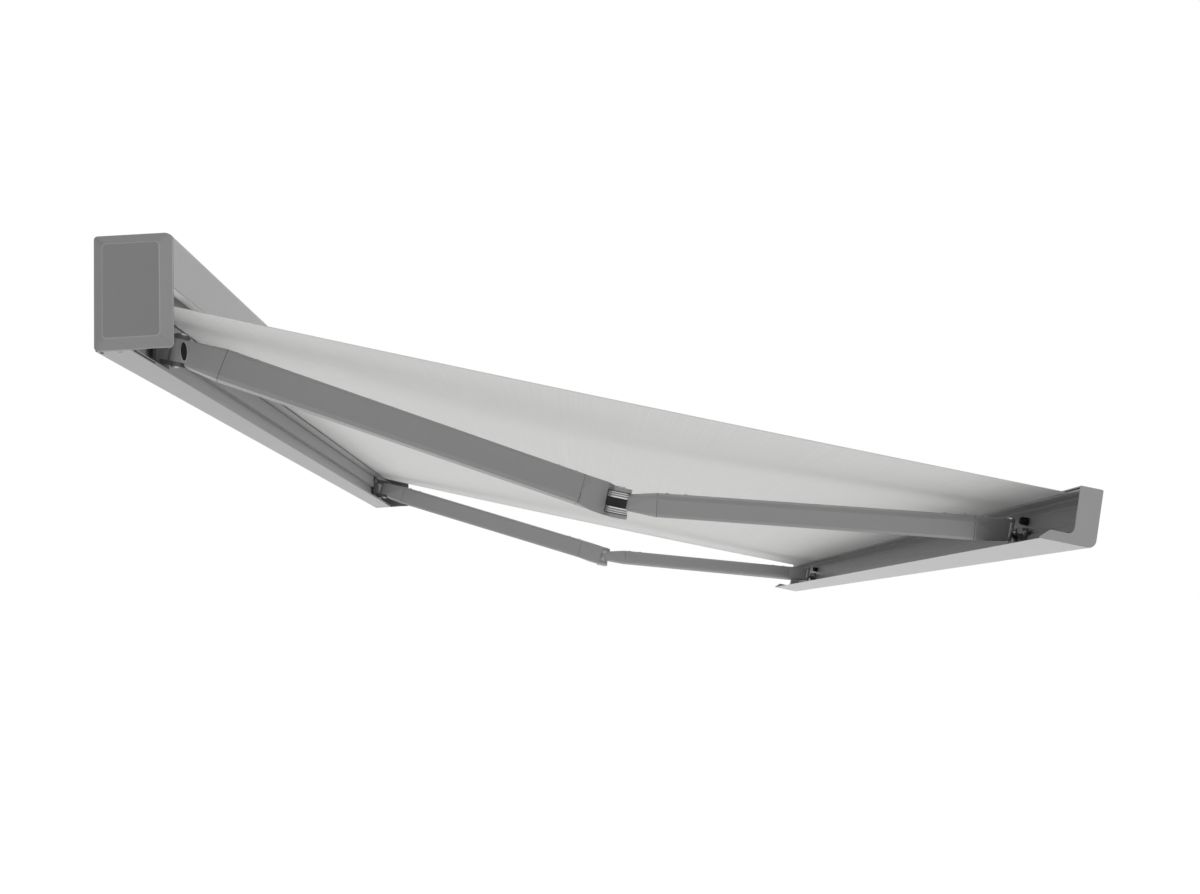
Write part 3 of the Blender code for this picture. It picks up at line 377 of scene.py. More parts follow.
def feed(tree, node, **values):
    """Set a node's inputs by name, with an underscore for each space; returns the node."""
    for label, value in values.items():
        put(tree, node.inputs[label.replace("_", " ")], value)
    return node


def math_node(tree, operation, first, second=0.0, clamp=False):
    """Math node with two inputs that are sockets or numbers; returns its output."""
    node = tree.nodes.new("ShaderNodeMath")
    node.operation = operation
    node.use_clamp = clamp
    put(tree, node.inputs[0], first)
    put(tree, node.inputs[1], second)
    return node.outputs[0]


def scaled(tree, place, scale):
    """Vector times a scale that is a socket or three numbers."""
    node = tree.nodes.new("ShaderNodeVectorMath")
    node.operation = "MULTIPLY"
    put(tree, node.inputs[0], place)
    put(tree, node.inputs[1], scale)
    return node.outputs[0]


def noise(tree, place, scale, detail, roughness=0.5):
    """Noise texture's value; scale is a number or a socket."""
    node = tree.nodes.new("ShaderNodeTexNoise")
    feed(tree, node, Vector=place, Scale=scale, Detail=detail, Roughness=roughness)
    return node.outputs["Fac"]


def build_grain(tree, given, result):
    """Fine pebbled grain of a powder coat, with slow clouds of shade."""
    fine = noise(tree, given["Place"], given["Grain Scale"], detail=3.0, roughness=0.6)
    clouds = noise(tree, given["Place"], given["Cloud Scale"], detail=2.0)
    tree.links.new(fine, result["Height"])
    centred = math_node(tree, "SUBTRACT", clouds, 0.5)
    speck = math_node(tree, "SUBTRACT", fine, 0.5)
    mixed = math_node(tree, "ADD", math_node(tree, "MULTIPLY", centred, given["Cloud"]),
                      math_node(tree, "MULTIPLY", speck, given["Speck"]))
    tree.links.new(math_node(tree, "ADD", mixed, 0.5, clamp=True), result["Shade"])


def build_drawn(tree, given, result):
    """Fine lines left along a drawn or extruded profile."""
    stretched = scaled(tree, given["Place"], given["Stretch"])
    lines = noise(tree, stretched, 1.0, detail=2.0, roughness=0.7)
    tree.links.new(lines, result["Lines"])


def build_weave(tree, given, result):
    """Plain weave of two thread systems, with uneven threads as soft streaks."""
    parts = tree.nodes.new("ShaderNodeSeparateXYZ")
    tree.links.new(given["Place"], parts.inputs[0])
    turns = math_node(tree, "DIVIDE", TAU / 2, given["Pitch"])
    warp = math_node(tree, "SINE", math_node(tree, "MULTIPLY", parts.outputs["X"], turns))
    weft = math_node(tree, "SINE", math_node(tree, "MULTIPLY", parts.outputs["Y"], turns))
    over = math_node(tree, "MULTIPLY", warp, weft)
    half = math_node(tree, "MULTIPLY", over, 0.5)
    tree.links.new(math_node(tree, "ADD", half, 0.5), result["Height"])
    along, across = (noise(tree, scaled(tree, given["Place"], stretch), 1.0, detail=3.0, roughness=0.65)
                     for stretch in (WARP_STREAKS, WEFT_STREAKS))
    broad = noise(tree, scaled(tree, given["Place"], BROAD_CLOUDS), 1.0, detail=2.0)
    streaks = math_node(tree, "ADD", math_node(tree, "SUBTRACT", along, 0.5),
                        math_node(tree, "SUBTRACT", across, 0.5))
    shade = math_node(tree, "ADD", math_node(tree, "MULTIPLY", streaks, given["Streak"]),
                      math_node(tree, "MULTIPLY", math_node(tree, "SUBTRACT", broad, 0.5),
                                given["Broad"]))
    tree.links.new(math_node(tree, "ADD", shade, 0.5, clamp=True), result["Shade"])


def grain_group():
    """Group of the coats' grain."""
    return group("coat_grain", [("Place", None), ("Grain Scale", 900.0), ("Cloud Scale", 2.0),
                                ("Cloud", 0.3), ("Speck", 0.2)], ("Shade", "Height"), build_grain)


def drawn_group():
    """Group of the fine lines."""
    return group("drawn_lines", [("Place", None), ("Stretch", None)], ("Lines",), build_drawn)


def weave_group():
    """Group of the fabric's weave."""
    return group("plain_weave", [("Place", None), ("Pitch", 0.001), ("Streak", 0.5), ("Broad", 0.2)],
                 ("Shade", "Height"), build_weave)


def use(tree, made, **values):
    """Place a node group in a material and set its inputs."""
    node = tree.nodes.new("ShaderNodeGroup")
    node.node_tree = made
    return feed(tree, node, **values)


def blank(name):
    """New material with its Principled shader; returns the material, its tree and the shader."""
    material = bpy.data.materials.new(name)
    material.use_nodes = True
    return material, material.node_tree, material.node_tree.nodes["Principled BSDF"]


def two_tone(tree, factor, colour, darker, lighter):
    """Colour that runs from a darker to a lighter shade of itself with the factor."""
    mix = tree.nodes.new("ShaderNodeMix")
    mix.data_type = "RGBA"
    feed(tree, mix, Factor=factor, A=(*(channel * darker for channel in colour), 1),
         B=(*(min(channel * lighter, 1) for channel in colour), 1))
    return mix.outputs["Result"]


def bump(tree, height, shader, strength, distance):
    """Bump node from a height to the shader's Normal."""
    node = feed(tree, tree.nodes.new("ShaderNodeBump"), Height=height, Strength=strength,
                Distance=distance)
    feed(tree, shader, Normal=node.outputs["Normal"])


def spread(tree, factor, low, high):
    """Value between two limits, set by a factor."""
    node = feed(tree, tree.nodes.new("ShaderNodeMapRange"), Value=factor, To_Min=low, To_Max=high)
    return node.outputs["Result"]


def object_place(tree):
    """Place on the object in metres."""
    return tree.nodes.new("ShaderNodeTexCoord").outputs["Object"]


def coated(name, colour, *, roughness, grain, speck, depth, metallic=0.0):
    """Powder-coated or painted metal, and rubber."""
    material, tree, shader = blank(name)
    coat = use(tree, grain_group(), Place=object_place(tree), Grain_Scale=grain,
               Cloud_Scale=1.7, Cloud=0.35, Speck=speck)
    shade = coat.outputs["Shade"]
    feed(tree, shader, Base_Color=two_tone(tree, shade, colour, darker=0.90, lighter=1.10),
         Roughness=spread(tree, shade, low=roughness - 0.05, high=roughness + 0.05),
         Metallic=metallic, Specular_IOR_Level=0.35)
    bump(tree, coat.outputs["Height"], shader, strength=0.25, distance=depth)
    return material


def drawn_metal(name, colour, *, roughness, stretch, metallic=1.0):
    """Metal or plastic with fine lines; stretch is their number per metre along each axis."""
    material, tree, shader = blank(name)
    drawn = use(tree, drawn_group(), Place=object_place(tree), Stretch=stretch)
    lines = drawn.outputs["Lines"]
    feed(tree, shader, Base_Color=two_tone(tree, lines, colour, darker=0.80, lighter=1.15),
         Roughness=spread(tree, lines, low=roughness - 0.08, high=roughness + 0.10),
         Metallic=metallic)
    bump(tree, lines, shader, strength=0.15, distance=0.0003)
    return material


def cloth_material(name, cloth):
    """Woven fabric; its texture follows the sheet's own width and length in metres."""
    material, tree, shader = blank(name)
    place = tree.nodes.new("ShaderNodeUVMap").outputs["UV"]
    weave = use(tree, weave_group(), Place=place, Pitch=cloth.thread, Streak=0.7, Broad=0.25)
    feed(tree, shader,
         Base_Color=two_tone(tree, weave.outputs["Shade"], cloth.colour, darker=0.88, lighter=1.12),
         Roughness=0.85, Specular_IOR_Level=0.2, Sheen_Weight=0.12, Sheen_Roughness=0.5)
    bump(tree, weave.outputs["Height"], shader, strength=0.30, distance=0.0003)
    return material


def dress(nodes, material):
    """Give CAD nodes a material in place of their own."""
    for name in nodes:
        for slot in frame["nodes"][name].material_slots:
            slot.material = material


def both(*names):
    """The names for the left and for the right side."""
    return [f"{side}_{name}" for side in SIDES for name in names]


# Pieces

def finish_metal(metal):
    """Set the finish of every metal and rubber piece that the frame brings."""
    dress(["cassette_back", "cassette_visor", "bottom_strip", "carrier_rail", "fabric_deflector",
           *both("end_cap")],
          coated("cassette_coat", metal.cassette, roughness=0.44, grain=1100.0, speck=0.30, depth=0.0002))
    dress(["bay_liner"],
          coated("bay_coat", metal.bay, roughness=0.44, grain=1100.0, speck=0.30, depth=0.0002))
    dress(both("rail_cap"),
          coated("cap_coat", metal.cap, roughness=0.40, grain=900.0, speck=0.25, depth=0.0002))
    dress(["front_rail"],
          coated("rail_coat", metal.cassette, roughness=0.36, grain=700.0, speck=0.55, depth=0.0003))
    dress(both("upper_tube", "fore_tube"),
          coated("arm_coat", metal.arm, roughness=0.42, grain=1100.0, speck=0.25, depth=0.0002))
    dress(both("shoulder_casting", "elbow_fork", "elbow_hub", "wrist_casting"),
          coated("casting_coat", metal.casting, roughness=0.46, grain=600.0, speck=0.35, depth=0.0004))
    dress(["idler_pin", *both("shoulder_pin", "elbow_pin", "wrist_pin", "tilt_pin", "swivel_block")],
          drawn_metal("turned_metal", metal.bare, roughness=0.34, stretch=(300.0, 300.0, 300.0)))
    dress(["roller_tube"],
          drawn_metal("roller_zinc", metal.bare, roughness=0.38, stretch=(2.0, 260.0, 260.0)))
    dress(["hem_rod"],
          drawn_metal("rod_cord", metal.trim, roughness=0.60, stretch=(4.0, 300.0, 300.0), metallic=0.0))
    dress(both("tension_spring"),
          drawn_metal("spring_wire", metal.bare, roughness=0.30, stretch=(240.0, 240.0, 240.0)))
    dress(["motor", "drive_wheel", "idler_plug", "left_wall_bracket", "middle_wall_bracket",
           "right_wall_bracket", *both("end_plate", "shoulder_bracket", "rail_bracket")],
          coated("dark_coat", metal.dark, roughness=0.50, grain=500.0, speck=0.50, depth=0.0004,
                 metallic=0.2))
    dress(both("drum_belt", "rail_buffer"),
          coated("rubber", metal.rubber, roughness=0.72, grain=1500.0, speck=0.8, depth=0.0003))


def black_seal(name, metal):
    """Smooth black rubber of the thin seals."""
    return coated(name, metal.rubber, roughness=0.6, grain=900.0, speck=0.5, depth=0.0001)


def dark_opening(name, metal):
    """Painted shade: dull black standing in for the shade inside an opening or a recess."""
    return coated(name, metal.rubber, roughness=0.8, grain=900.0, speck=0.3, depth=0.0001)


def pale_edge(name, metal):
    """Paler coat where a fine edge catches the light."""
    return coated(name, metal.cap, roughness=0.36, grain=900.0, speck=0.25, depth=0.0001)


def fabric_line(cloth):
    """The fabric's straight run, from where it leaves the roll to the rod in the rail's groove."""
    axis = Vector(JOINTS["roller_turn"]["pos_m"])
    low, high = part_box("fabric_roll")
    radius = (high.z - low.z) / 2 + ROLL_GAP + cloth.thickness
    rod_low, rod_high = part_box("hem_rod")
    rod = (rod_low + rod_high) / 2
    reach = Vector((0, rod.y - axis.y, rod.z - axis.z))
    swing = math.acos(radius / reach.length)
    spoke = Matrix.Rotation(swing, 3, "X") @ reach.normalized()
    start = Vector((0, axis.y, axis.z)) + spoke * radius
    end = Vector((0, rod.y, rod.z))
    return start, end - (end - start).normalized() * (rod_high.z - rod_low.z) * ROD_SHORTFALL


def cloth_columns(half, hem):
    """Places across the sheet, with a close pair at the inner edge of each hem."""
    inner = half - hem
    columns = [-half, -inner - HEM_STEP, -inner + HEM_STEP]
    columns += [-inner + 2 * inner * index / CLOTH_COLUMNS for index in range(1, CLOTH_COLUMNS)]
    return columns + [inner - HEM_STEP, inner + HEM_STEP, half]


def cloth_lift(cloth, x, share):
    """Height of the sheet over its straight run, from its sag and its soft waves."""
    calm = math.sin(math.pi * share)
    wave = math.sin(TAU * x / SHORT_WAVE + SHORT_WAVE_PHASE)
    wave += LONG_WAVE_SHARE * math.sin(TAU * x / LONG_WAVE + LONG_WAVE_DRIFT * share)
    return -cloth.sag * calm + cloth.ripple * calm * wave


def join_layers(mesh, top, bottom):
    """Faces of the sheet's upper and lower grids and of the edge all round."""
    for grid in (top, bottom):
        for near, far in zip(grid, grid[1:]):
            for index in range(len(near) - 1):
                face = (near[index], near[index + 1], far[index + 1], far[index])
                mesh.faces.new(face[::-1] if grid is top else face)
    for row in range(len(top) - 1):
        mesh.faces.new((top[row][0], top[row + 1][0], bottom[row + 1][0], bottom[row][0]))
        mesh.faces.new((top[row][-1], bottom[row][-1], bottom[row + 1][-1], top[row + 1][-1]))
    for row in (0, -1):
        for index in range(len(top[0]) - 1):
            mesh.faces.new((top[row][index], bottom[row][index],
                            bottom[row][index + 1], top[row][index + 1]))


def make_canopy(cloth):
    """One taut sheet with folded side hems."""
    start, end = fabric_line(cloth)
    low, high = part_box("canopy")
    half = (high.x - low.x) / 2
    length = (end - start).length
    along = (end - start).normalized()
    upward = Vector((1, 0, 0)).cross(along)
    upward = upward if upward.z > 0 else -upward
    columns = cloth_columns(half, cloth.hem)
    mesh = bmesh.new()
    uv_layer = mesh.loops.layers.uv.new("UVMap")
    flat = {}
    layers = []
    for side in (1, -1):
        grid = []
        for row in range(CLOTH_ROWS + 1):
            share = row / CLOTH_ROWS
            line = []
            for x in columns:
                folded = side < 0 and abs(x) > half - cloth.hem
                rise = side * cloth.thickness / 2 * (HEM_LAYERS if folded else 1.0)
                lift = upward * (cloth_lift(cloth, x, share) + rise)
                vertex = mesh.verts.new(start + along * (length * share) + lift + Vector((x, 0, 0)))
                flat[vertex] = (x, length * share)
                line.append(vertex)
            grid.append(line)
        layers.append(grid)
    join_layers(mesh, *layers)
    for face in mesh.faces:
        for loop in face.loops:
            loop[uv_layer].uv = flat[loop.vert]
    canopy = piece("canopy_cloth", mesh, cloth_material("awning_cloth", cloth), "root")
    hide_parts("canopy")
    squash_with_arms(canopy, end)


def folded_hem(end):
    """Where the hem lies when the arms are folded, worked out from the joints."""
    point = end.copy()
    for name in ("rail_tilt", "left_wrist", "left_elbow", "left_shoulder"):
        joint = JOINTS[name]
        angle = math.radians(max(joint["range_deg"], key=abs))
        place = Vector(joint["pos_m"])
        point = place + Matrix.Rotation(angle, 3, Vector(joint["axis"])) @ (point - place)
    return point


def squash_with_arms(cloth, end):
    """Work out where the hem lies with the arms folded, and give the sheet a mesh of its own."""
    folded = folded_hem(end)
    folded.x = end.x
    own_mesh(cloth)


def make_wound_fabric(cloth):
    """Turns of fabric on the roller, with the edge of each turn at both ends."""
    low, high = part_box("fabric_roll")
    tube_low, tube_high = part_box("roller_tube")
    inside = (tube_high.z - tube_low.z) / 2 + ROLL_TUBE_GAP
    outside = (high.z - low.z) / 2 + ROLL_SWELL
    pitch = (outside - inside) / cloth.turns
    profile = []
    for side in (-1, 1):
        edge = [(inside + pitch * (turn + share), side * (high.x - back))
                for turn in range(cloth.turns) for share, back in TURN_EDGE]
        profile += edge[::-1] if side > 0 else edge
    mesh = bmesh.new()
    centre = Vector(JOINTS["roller_turn"]["pos_m"])
    band(mesh, [ring(ROLL_SEGMENTS, radius, height) for radius, height in profile],
         Matrix.Translation(centre) @ Matrix.Rotation(TAU / 4, 4, "Y"))
    uv_layer = mesh.loops.layers.uv.new("UVMap")
    for face in mesh.faces:
        for loop in face.loops:
            away = loop.vert.co - centre
            loop[uv_layer].uv = (loop.vert.co.x, math.atan2(away.z, away.y) * outside)
    made = piece("wound_fabric", mesh, cloth_material("wound_cloth", cloth), "roller")
    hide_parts("fabric_roll")


def hexagon_bolt(mesh, place, radius, height):
    """Hexagon head with a chamfered top on a flat washer."""
    turned(mesh, place, WASHER_SEGMENTS, WASHER_PROFILE, radius, height)
    turned(mesh, place, HEXAGON_SIDES, HEXAGON_PROFILE, radius, height)


def side_upright(outward):
    """Upright direction of an arm tube's section, at right angles to the tube."""
    upright = Vector((0, -math.sin(SLOPE), math.cos(SLOPE)))
    return (upright - outward * upright.dot(outward)).normalized()


def make_rivets(metal):
    """Two domed rivets on top of each arm tube, at each end."""
    material = drawn_metal("rivet_metal", metal.bare, roughness=0.42, stretch=(200.0, 200.0, 200.0),
                           metallic=0.6)
    for side in SIDES:
        for tube, body in ARM_TUBES:
            mesh = bmesh.new()
            for middle, outward, points in tube_ends(f"{side}_{tube}"):
                upright = side_upright(outward)
                top = max((point - middle).dot(upright) for point in points)
                for distance in RIVET_PLACES:
                    seat = middle - outward * distance + upright * (top - SUNK)
                    turned(mesh, facing(seat, upright, outward), RIVET_SEGMENTS, RIVET_PROFILE,
                           RIVET_RADIUS, RIVET_HEIGHT)
            piece(f"{side}_{tube}_rivets", mesh, material, f"{side}_{body}")


def outline_spokes(middle, outward, points):
    """Spokes from the middle of a tube's end to its outer corners, in order round it."""
    across = outward.cross(side_upright(outward))
    upright = outward.cross(across)
    farthest = {}
    for point in points:
        away = point - outward * (point - middle).dot(outward) - middle
        direction = round(math.atan2(away.dot(across), away.dot(upright)) / OUTLINE_STEP)
        if direction not in farthest or farthest[direction].length < away.length:
            farthest[direction] = away
    spokes = [farthest[direction] for direction in sorted(farthest)]
    longest = max(spoke.length for spoke in spokes)
    return [spoke for spoke in spokes if spoke.length > longest * OUTLINE_SHARE]


def make_seam_rings(metal):
    """Thin dark seals between each arm tube and its castings."""
    material = black_seal("seam_seal", metal)
    section = ((-SEAL_WIDTH / 2, SEAL_RISE), (SEAL_WIDTH / 2, SEAL_RISE),
               (SEAL_WIDTH / 2, -SEAL_DEPTH), (-SEAL_WIDTH / 2, -SEAL_DEPTH))
    for side in SIDES:
        for tube, body in ARM_TUBES:
            mesh = bmesh.new()
            for middle, outward, points in tube_ends(f"{side}_{tube}"):
                spokes = outline_spokes(middle, outward, points)
                band(mesh, [[middle + outward * (SEAL_GAP + shift) + spoke + spoke.normalized() * grow
                             for spoke in spokes] for shift, grow in section])
            piece(f"{side}_{tube}_seals", mesh, material, f"{side}_{body}")


def rail_bracket_seats(side):
    """Places of the four bolts on a rail bracket's plate, and the direction that they face."""
    turn = Matrix.Rotation(SLOPE, 3, "X")
    inward, upward = turn @ Vector((0, 1, 0)), turn @ Vector((0, 0, 1))
    points = corners(f"{side}_rail_bracket")
    low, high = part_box(f"{side}_rail_bracket")
    top = max(point.dot(upward) for point in points)
    bottom = min(point.dot(upward) for point in points)
    back = min(point.dot(inward) for point in points)
    seats = [inward * (back + RAIL_BOLT_SEAT) + upward * (bottom + (top - bottom) * share)
             + Vector((x, 0, 0))
             for x in (low.x + RAIL_BOLT_INSET, high.x - RAIL_BOLT_INSET) for share in RAIL_BOLT_HEIGHTS]
    return seats, inward


def shoulder_bracket_seats(side):
    """Places of the two bolts on a shoulder bracket's plate, and the direction that they face."""
    low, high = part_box(f"{side}_shoulder_bracket")
    front = min(point.y for point in corners(f"{side}_shoulder_bracket")
                if min(abs(point.x - low.x), abs(point.x - high.x)) < SHOULDER_PLATE_EDGE)
    seats = [Vector((x, front + SUNK, high.z - SHOULDER_BOLT_DROP))
             for x in (low.x + SHOULDER_BOLT_INSET, high.x - SHOULDER_BOLT_INSET)]
    return seats, Vector((0, -1, 0))


def make_bolts(metal):
    """Bolts of the rail brackets and the shoulder brackets."""
    material = drawn_metal("bolt_metal", metal.bare, roughness=0.36, stretch=(260.0, 260.0, 260.0))
    for side in SIDES:
        for bracket, (seats, normal), radius, height, body in (
                ("rail_bracket", rail_bracket_seats(side), RAIL_BOLT_RADIUS, RAIL_BOLT_HEIGHT, "drop_rail"),
                ("shoulder_bracket", shoulder_bracket_seats(side), SHOULDER_BOLT_RADIUS,
                 SHOULDER_BOLT_HEIGHT, "root")):
            mesh = bmesh.new()
            for seat in seats:
                hexagon_bolt(mesh, facing(seat, normal), radius, height)
            piece(f"{side}_{bracket}_bolts", mesh, material, body)


def box_between(mesh, low, high):
    """Box between two corners."""
    low, high = Vector(low), Vector(high)
    middle, size = (low + high) / 2, high - low
    bmesh.ops.create_cube(mesh, size=1.0,
                          matrix=Matrix.Translation(middle) @ Matrix.Diagonal((*size, 1)))


def make_lip_highlights(metal):
    """Pale strips under the visor's lip, painted highlights: one for the lip's lit edge and one behind it
    for the flange's lit edge.
    """
    low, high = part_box("cassette_visor")
    front = low.y + LIP_FRONT_GAP
    back = front + LIP_WIDTH + FLANGE_HIGHLIGHT_GAP
    mesh = bmesh.new()
    box_between(mesh, (low.x, front, low.z - STRIP_THICKNESS), (high.x, front + LIP_WIDTH, low.z))
    box_between(mesh, (low.x, back, low.z - STRIP_THICKNESS),
                (high.x, back + FLANGE_HIGHLIGHT_WIDTH, low.z + FLANGE_HIGHLIGHT_HEIGHT))
    # Painted highlight: near-white coat standing in for the light that the lip and the flange's edge catch
    pale = coated("weather_strip", metal.trim, roughness=0.35, grain=900.0, speck=0.2, depth=0.0001)
    piece("visor_weather_strip", mesh, pale, "root")


def make_underside_openings(metal):
    """Dark oval and notch near each end of the underside, and the slot in its lip with the vents, as thin
    inlays of painted shade where the openings are.
    """
    dark = dark_opening("opening_shade", metal)
    low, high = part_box("bottom_strip")
    for side, name in zip((-1, 1), SIDES):
        mesh = bmesh.new()
        oval = Matrix.Translation((side * (high.x - OVAL_INSET), -OVAL_DEPTH, low.z))
        skin(mesh, [ring(OVAL_SEGMENTS, 1.0, height) for height in (-INLAY, INLAY)],
             oval @ Matrix.Diagonal((*OVAL_SIZE, 1.0, 1.0)))
        notch = side * (high.x - NOTCH_INSET)
        far, near = NOTCH_DEPTHS
        box_between(mesh, (notch - NOTCH_WIDTH / 2, -far, low.z - INLAY),
                    (notch + NOTCH_WIDTH / 2, -near, low.z + INLAY))
        piece(f"{name}_underside_openings", mesh, dark, "root")

        mesh = bmesh.new()
        left, right = sorted(side * (high.x - inset) for inset in LIP_SLOT_INSETS)
        bottom, top = LIP_SLOT_HEIGHTS
        box_between(mesh, (left, low.y - INLAY, low.z + bottom), (right, low.y + INLAY, low.z + top))
        (front, back), (bottom, top) = VENT_DEPTHS, VENT_HEIGHTS
        for step in range(VENTS):
            place = side * (high.x - VENT_INSET - VENT_PITCH * step)
            box_between(mesh, (place - VENT_WIDTH / 2, low.y + front, low.z + bottom),
                        (place + VENT_WIDTH / 2, low.y + back, low.z + top))
        piece(f"{name}_lip_slot", mesh, dark, "root")


def make_cassette_trim(metal):
    """Painted highlight strips under the visor's lip, and the dark openings of the underside, which are
    painted shade.
    """
    make_lip_highlights(metal)
    make_underside_openings(metal)


def turned_band(mesh, place, radius, low, high, depth):
    """Ring of rectangular section about Z, with slightly rounded outer edges."""
    ease = min(BAND_EASE, (high - low) / 4)
    profile = ((radius - depth, low), (radius - ease, low), (radius, low + ease),
               (radius, high - ease), (radius - ease, high), (radius - depth, high))
    band(mesh, [ring(BAND_SEGMENTS, reach, height) for reach, height in profile], place)


def make_drum_bands(metal):
    """Bright lands and black seals round the drum of each elbow."""
    bright = drawn_metal("drum_land", metal.bare, roughness=0.28, stretch=(60.0, 60.0, 900.0))
    black = black_seal("drum_seal", metal)
    for side in SIDES:
        joint = JOINTS[f"{side}_elbow"]
        place = facing(Vector(joint["pos_m"]), Vector(joint["axis"]))
        for name, bands, material, slot in (("lands", DRUM_LANDS, bright, "bare_metal"),
                                            ("seals", DRUM_SEALS, black, "black_rubber")):
            mesh = bmesh.new()
            for low, high in bands:
                for bottom, top in ((low, high), (-high, -low)):
                    turned_band(mesh, place, DRUM_RADIUS + BAND_RISE, bottom, top, BAND_DEPTH)
            piece(f"{side}_drum_{name}", mesh, material, f"{side}_forearm")


def make_rail_ribs(metal):
    """Fine pale ribs drawn along the inside of the front rail's wall, painted highlights of the lit edges
    of its groove.
    """
    turn = Matrix.Rotation(SLOPE, 4, "X")
    level = [turn.inverted() @ point for point in corners("front_rail")]
    low, high = (Vector(limit(axis) for axis in zip(*level)) for limit in (min, max))
    wall = low.y + RAIL_WALL
    mesh = bmesh.new()
    for height in RIB_HEIGHTS:
        box_between(mesh, (low.x, wall - INLAY, low.z + height),
                    (high.x, wall + RIB, low.z + height + RIB))
    mesh.transform(turn)
    piece("front_rail_ribs", mesh, pale_edge("rib_coat", metal), "drop_rail")


def make_cap_edges(metal):
    """Narrow flat pale edge round the raised panel of each end cap, a painted highlight of its rounded
    outline.
    """
    material = pale_edge("edge_coat", metal)
    for side in SIDES:
        points = corners(f"{side}_end_cap")
        outside = max((point.x for point in points), key=abs)
        panel = [point for point in points if abs(point.x - outside) < SAME_PLANE]
        middle = sum(panel, Vector()) / len(panel)
        panel.sort(key=lambda point: math.atan2(point.z - middle.z, point.y - middle.y))
        low, high = (Vector(limit(axis) for axis in zip(*panel)) for limit in (min, max))
        grow = Matrix.Diagonal((1.0, 1 + 2 * EDGE_WIDTH / (high.y - low.y),
                                1 + 2 * EDGE_WIDTH / (high.z - low.z)))
        wide = [middle + grow @ (point - middle) for point in panel]
        sunk = Vector((math.copysign(EDGE_WIDTH, -outside), 0, 0))
        mesh = bmesh.new()
        band(mesh, [panel, wide, [point + sunk for point in wide], [point + sunk for point in panel]])
        piece(f"{side}_cap_edge", mesh, material, "root")


def make_shoulder_recess(metal):
    """Dark slot with a bright rim on the outer face of each shoulder casting; the dark slot is a thin inlay
    of painted shade where the recess is.
    """
    dark = dark_opening("recess_shade", metal)
    pale = drawn_metal("recess_rim", metal.bare, roughness=0.30, stretch=(200.0, 200.0, 200.0),
                       metallic=0.8)
    long, short = RECESS_SIZE
    for side in SIDES:
        mirror = Matrix.Diagonal((-1.0 if side == "left" else 1.0, 1.0, 1.0))
        place = facing(mirror @ RECESS_PLACE, mirror @ RECESS_NORMAL, mirror @ RECESS_ALONG)
        for name, grow, rise, material, slot in (
                ("recess", 0.0, RECESS_RISE, dark, "black_rubber"),
                ("recess_rim", RIM_WIDTH, RIM_RISE, pale, "bare_metal")):
            mesh = bmesh.new()
            skin(mesh, [ring(RECESS_SEGMENTS, 1.0, height) for height in (-RECESS_DEPTH, rise)],
                 place @ Matrix.Diagonal((long + grow, short + grow, 1.0, 1.0)))
            piece(f"{side}_shoulder_{name}", mesh, material, f"{side}_upper_arm")


def backdrop(tree, dim, bright):
    """Bright shader for the camera and in reflections, and the dim one as light on the object."""
    rays = tree.nodes.new("ShaderNodeLightPath")
    seen = math_node(tree, "MAXIMUM", rays.outputs["Is Camera Ray"], rays.outputs["Is Glossy Ray"])
    seen = math_node(tree, "MAXIMUM", seen, rays.outputs["Is Transmission Ray"])
    mix = feed(tree, tree.nodes.new("ShaderNodeMixShader"), Fac=seen)
    put(tree, mix.inputs[1], dim)
    put(tree, mix.inputs[2], bright)
    return mix.outputs[0]


def make_floor(scene, stage):
    """Round floor that glows pale where it is seen and keeps the object's shadow."""
    mesh = bmesh.new()
    bmesh.ops.create_circle(mesh, cap_ends=True, radius=FLOOR_RADIUS, segments=FLOOR_SEGMENTS,
                            matrix=Matrix.Translation((*FLOOR_CENTRE, stage.floor_level)))
    data = bpy.data.meshes.new("floor")
    mesh.to_mesh(data)
    mesh.free()
    floor = bpy.data.objects.new("floor", data)
    scene.collection.objects.link(floor)
    floor.visible_shadow = False
    material, tree, shader = blank("floor_white")
    feed(tree, shader, Base_Color=(*stage.floor, 1), Roughness=0.9, Specular_IOR_Level=0.1)
    glow = feed(tree, tree.nodes.new("ShaderNodeEmission"), Strength=stage.floor_glow)
    lit = tree.nodes.new("ShaderNodeAddShader")
    put(tree, lit.inputs[0], shader.outputs[0])
    put(tree, lit.inputs[1], glow.outputs[0])
    feed(tree, tree.nodes["Material Output"], Surface=backdrop(tree, shader.outputs[0], lit.outputs[0]))
    data.materials.append(material)


def make_world(scene, stage):
    """Even light from all round, seen as white."""
    scene.world = bpy.data.worlds.new("studio")
    scene.world.use_nodes = True
    tree = scene.world.node_tree
    dim = tree.nodes["Background"]
    white = tree.nodes.new("ShaderNodeBackground")
    for background, strength in ((dim, stage.ambient), (white, 1.0)):
        feed(tree, background, Color=(1, 1, 1, 1), Strength=strength)
    feed(tree, tree.nodes["World Output"], Surface=backdrop(tree, dim.outputs[0], white.outputs[0]))


def make_lamps(scene, stage):
    """Wide soft suns from below, from the front and from above."""
    for name, direction, width in LAMPS:
        lamp = bpy.data.lights.new(f"lamp_{name}", "SUN")
        lamp.energy = getattr(stage, f"from_{name}")
        lamp.angle = math.radians(width)
        made = bpy.data.objects.new(f"lamp_{name}", lamp)
        made.rotation_mode = "QUATERNION"
        made.rotation_quaternion = Vector(direction).to_track_quat("-Z", "Y")
        scene.collection.objects.link(made)


